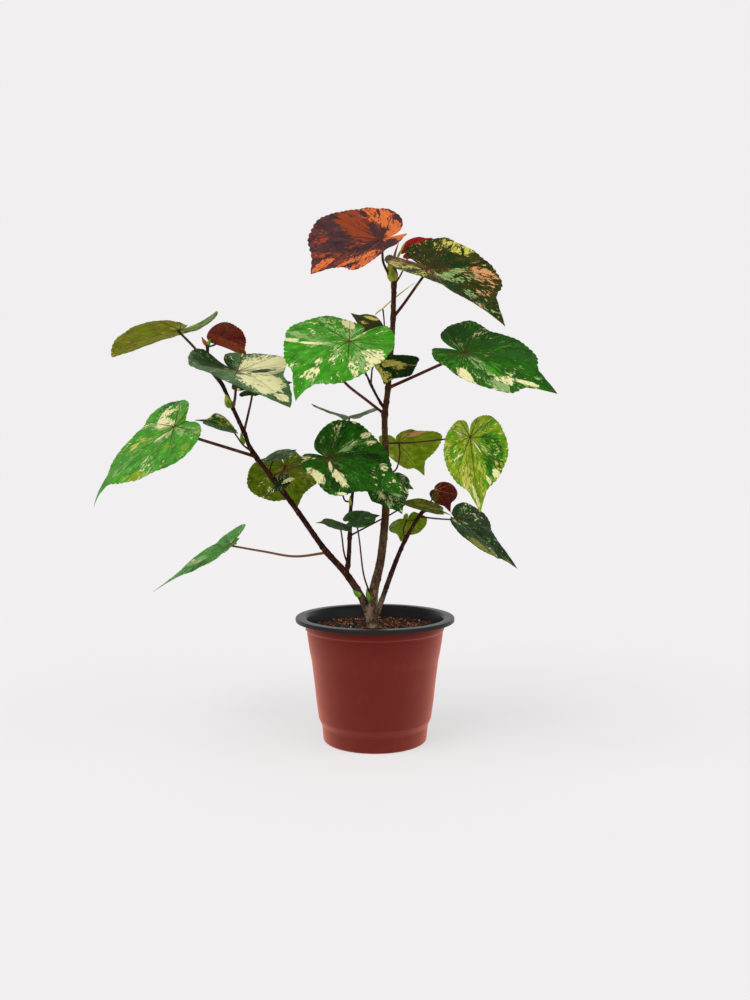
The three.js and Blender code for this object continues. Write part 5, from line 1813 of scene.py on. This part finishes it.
# The stage. The floor is a disc, in millimetres, and the lights are turned about X, Y and Z and are as
# wide as an angle, in degrees. The surround dims between two heights of the sky, from -1 to 1.
FLOOR_RADIUS = 6000
FLOOR_THICKNESS = 20
FLOOR_SIDES = 96
FLOOR_GLOW_TINT = (1, 0.981, 0.991, 1)
FLOOR_UNEVEN = (0.995, 1.005)
KEY_TURNS = (38, 0, -50)
KEY_WIDTH = 50
FILL_TURNS = (52, 0, 55)
FILL_WIDTH = 60
DIM_FROM = 0.45
DIM_TO = 0.85
SENSOR = 36
NEAREST = 0.05


class HIBISCUS_OT_stage(Operator):
    """Sets the floor, the light and the camera."""

    bl_idname = "hibiscus.stage"
    bl_label = "Stage"

    def execute(self, context):
        settings = context.scene.hibiscus_stage
        self.floor(settings)
        self.surround(context.scene, settings)
        self.sun("key", settings.key, KEY_TURNS, KEY_WIDTH)
        self.sun("fill", settings.fill, FILL_TURNS, FILL_WIDTH)
        self.camera(context.scene, settings)
        context.scene.view_settings.view_transform = "Standard"
        return {"FINISHED"}

    def floor(self, settings):
        """A wide round floor of one pale colour."""
        net = Net()
        under = [(0, -FLOOR_THICKNESS), (FLOOR_RADIUS, -FLOOR_THICKNESS)]
        add_lathe(net, [*under, (FLOOR_RADIUS, 0), (FLOOR_RADIUS / 2, 0), (0, 0)], FLOOR_SIDES)
        n = Nodes("floor")
        fine = n.noise(n.object_place(), scale=60, detail=2)
        n.shader.inputs["Emission Color"].default_value = FLOOR_GLOW_TINT
        n.shader.inputs["Emission Strength"].default_value = settings.glow
        tint = n.tone(settings.floor, n.between(fine, *FLOOR_UNEVEN))
        floor = net.build("floor", [n.finish(tint, roughness=0.9, specular=0.0)])

    def surround(self, scene, settings):
        """Pale light from all round, weaker overhead."""
        world = bpy.data.worlds.new("surround")
        world.use_nodes = True
        nodes, links = world.node_tree.nodes, world.node_tree.links
        heading = nodes.new("ShaderNodeTexCoord")
        split = nodes.new("ShaderNodeSeparateXYZ")
        dim = nodes.new("ShaderNodeMapRange")
        dim.interpolation_type = "SMOOTHSTEP"
        levels = {"From Min": DIM_FROM, "From Max": DIM_TO, "To Min": 1, "To Max": settings.zenith}
        for key, value in levels.items():
            dim.inputs[key].default_value = value
        links.new(heading.outputs["Generated"], split.inputs[0])
        links.new(split.outputs[2], dim.inputs["Value"])
        links.new(dim.outputs[0], nodes["Background"].inputs["Strength"])
        nodes["Background"].inputs["Color"].default_value = (*settings.sky, 1)
        scene.world = world

    def sun(self, name, strength, degrees, softness):
        """A wide soft light from a direction, given as turns about X, Y and Z."""
        light = bpy.data.lights.new(name, "SUN")
        light.energy = strength
        light.angle = math.radians(softness)
        lamp = bpy.data.objects.new(name, light)
        lamp.rotation_euler = [math.radians(value) for value in degrees]
        bpy.context.scene.collection.objects.link(lamp)

    def camera(self, scene, settings):
        """The camera of the photograph's view, in front of the pot."""
        data = bpy.data.cameras.new("camera")
        data.sensor_fit = "AUTO"
        data.sensor_width = SENSOR
        data.lens = settings.lens
        data.shift_y = settings.shift
        data.clip_start = NEAREST
        camera = bpy.data.objects.new("camera", data)
        camera.location = (0, -settings.distance, settings.eye)
        camera.rotation_euler = (math.pi / 2, 0, 0)
        scene.collection.objects.link(camera)
        scene.camera = camera


OPERATORS = (HIBISCUS_OT_pot, HIBISCUS_OT_mix, HIBISCUS_OT_stems, HIBISCUS_OT_leaves, HIBISCUS_OT_stage)
SETTINGS = dict(
    hibiscus_pot=PotSettings,
    hibiscus_mix=MixSettings,
    hibiscus_stems=StemSettings,
    hibiscus_buds=BudSettings,
    hibiscus_leaves=LeafSettings,
    hibiscus_stage=StageSettings,
)


class HIBISCUS_PT_panel(Panel):
    """Lists the pieces and their settings in the sidebar."""

    bl_idname = "HIBISCUS_PT_panel"
    bl_label = "Hibiscus Shrub"
    bl_space_type = "VIEW_3D"
    bl_region_type = "UI"
    bl_category = "Shrub"

    def draw(self, context):
        for operator in OPERATORS:
            self.layout.operator(operator.bl_idname)
        for name in SETTINGS:
            box = self.layout.box()
            settings = getattr(context.scene, name)
            for key in settings.bl_rna.properties.keys():
                if key not in ("rna_type", "name"):
                    box.prop(settings, key)


CLASSES = (*SETTINGS.values(), *OPERATORS, HIBISCUS_PT_panel)


def register():
    """Adds the settings, the operators and the panel to Blender."""
    for item in CLASSES:
        bpy.utils.register_class(item)
    for name, settings in SETTINGS.items():
        setattr(bpy.types.Scene, name, PointerProperty(type=settings))


def unregister():
    """Takes them out again."""
    for name in SETTINGS:
        delattr(bpy.types.Scene, name)
    for item in reversed(CLASSES):
        bpy.utils.unregister_class(item)


def main():
    """Builds the shrub, its pot and the stage."""
    register()
    bpy.ops.hibiscus.pot()
    bpy.ops.hibiscus.potting_mix()
    bpy.ops.hibiscus.stems()
    bpy.ops.hibiscus.leaves()
    bpy.ops.hibiscus.stage()
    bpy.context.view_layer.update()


if __name__ == "__main__":
    main()
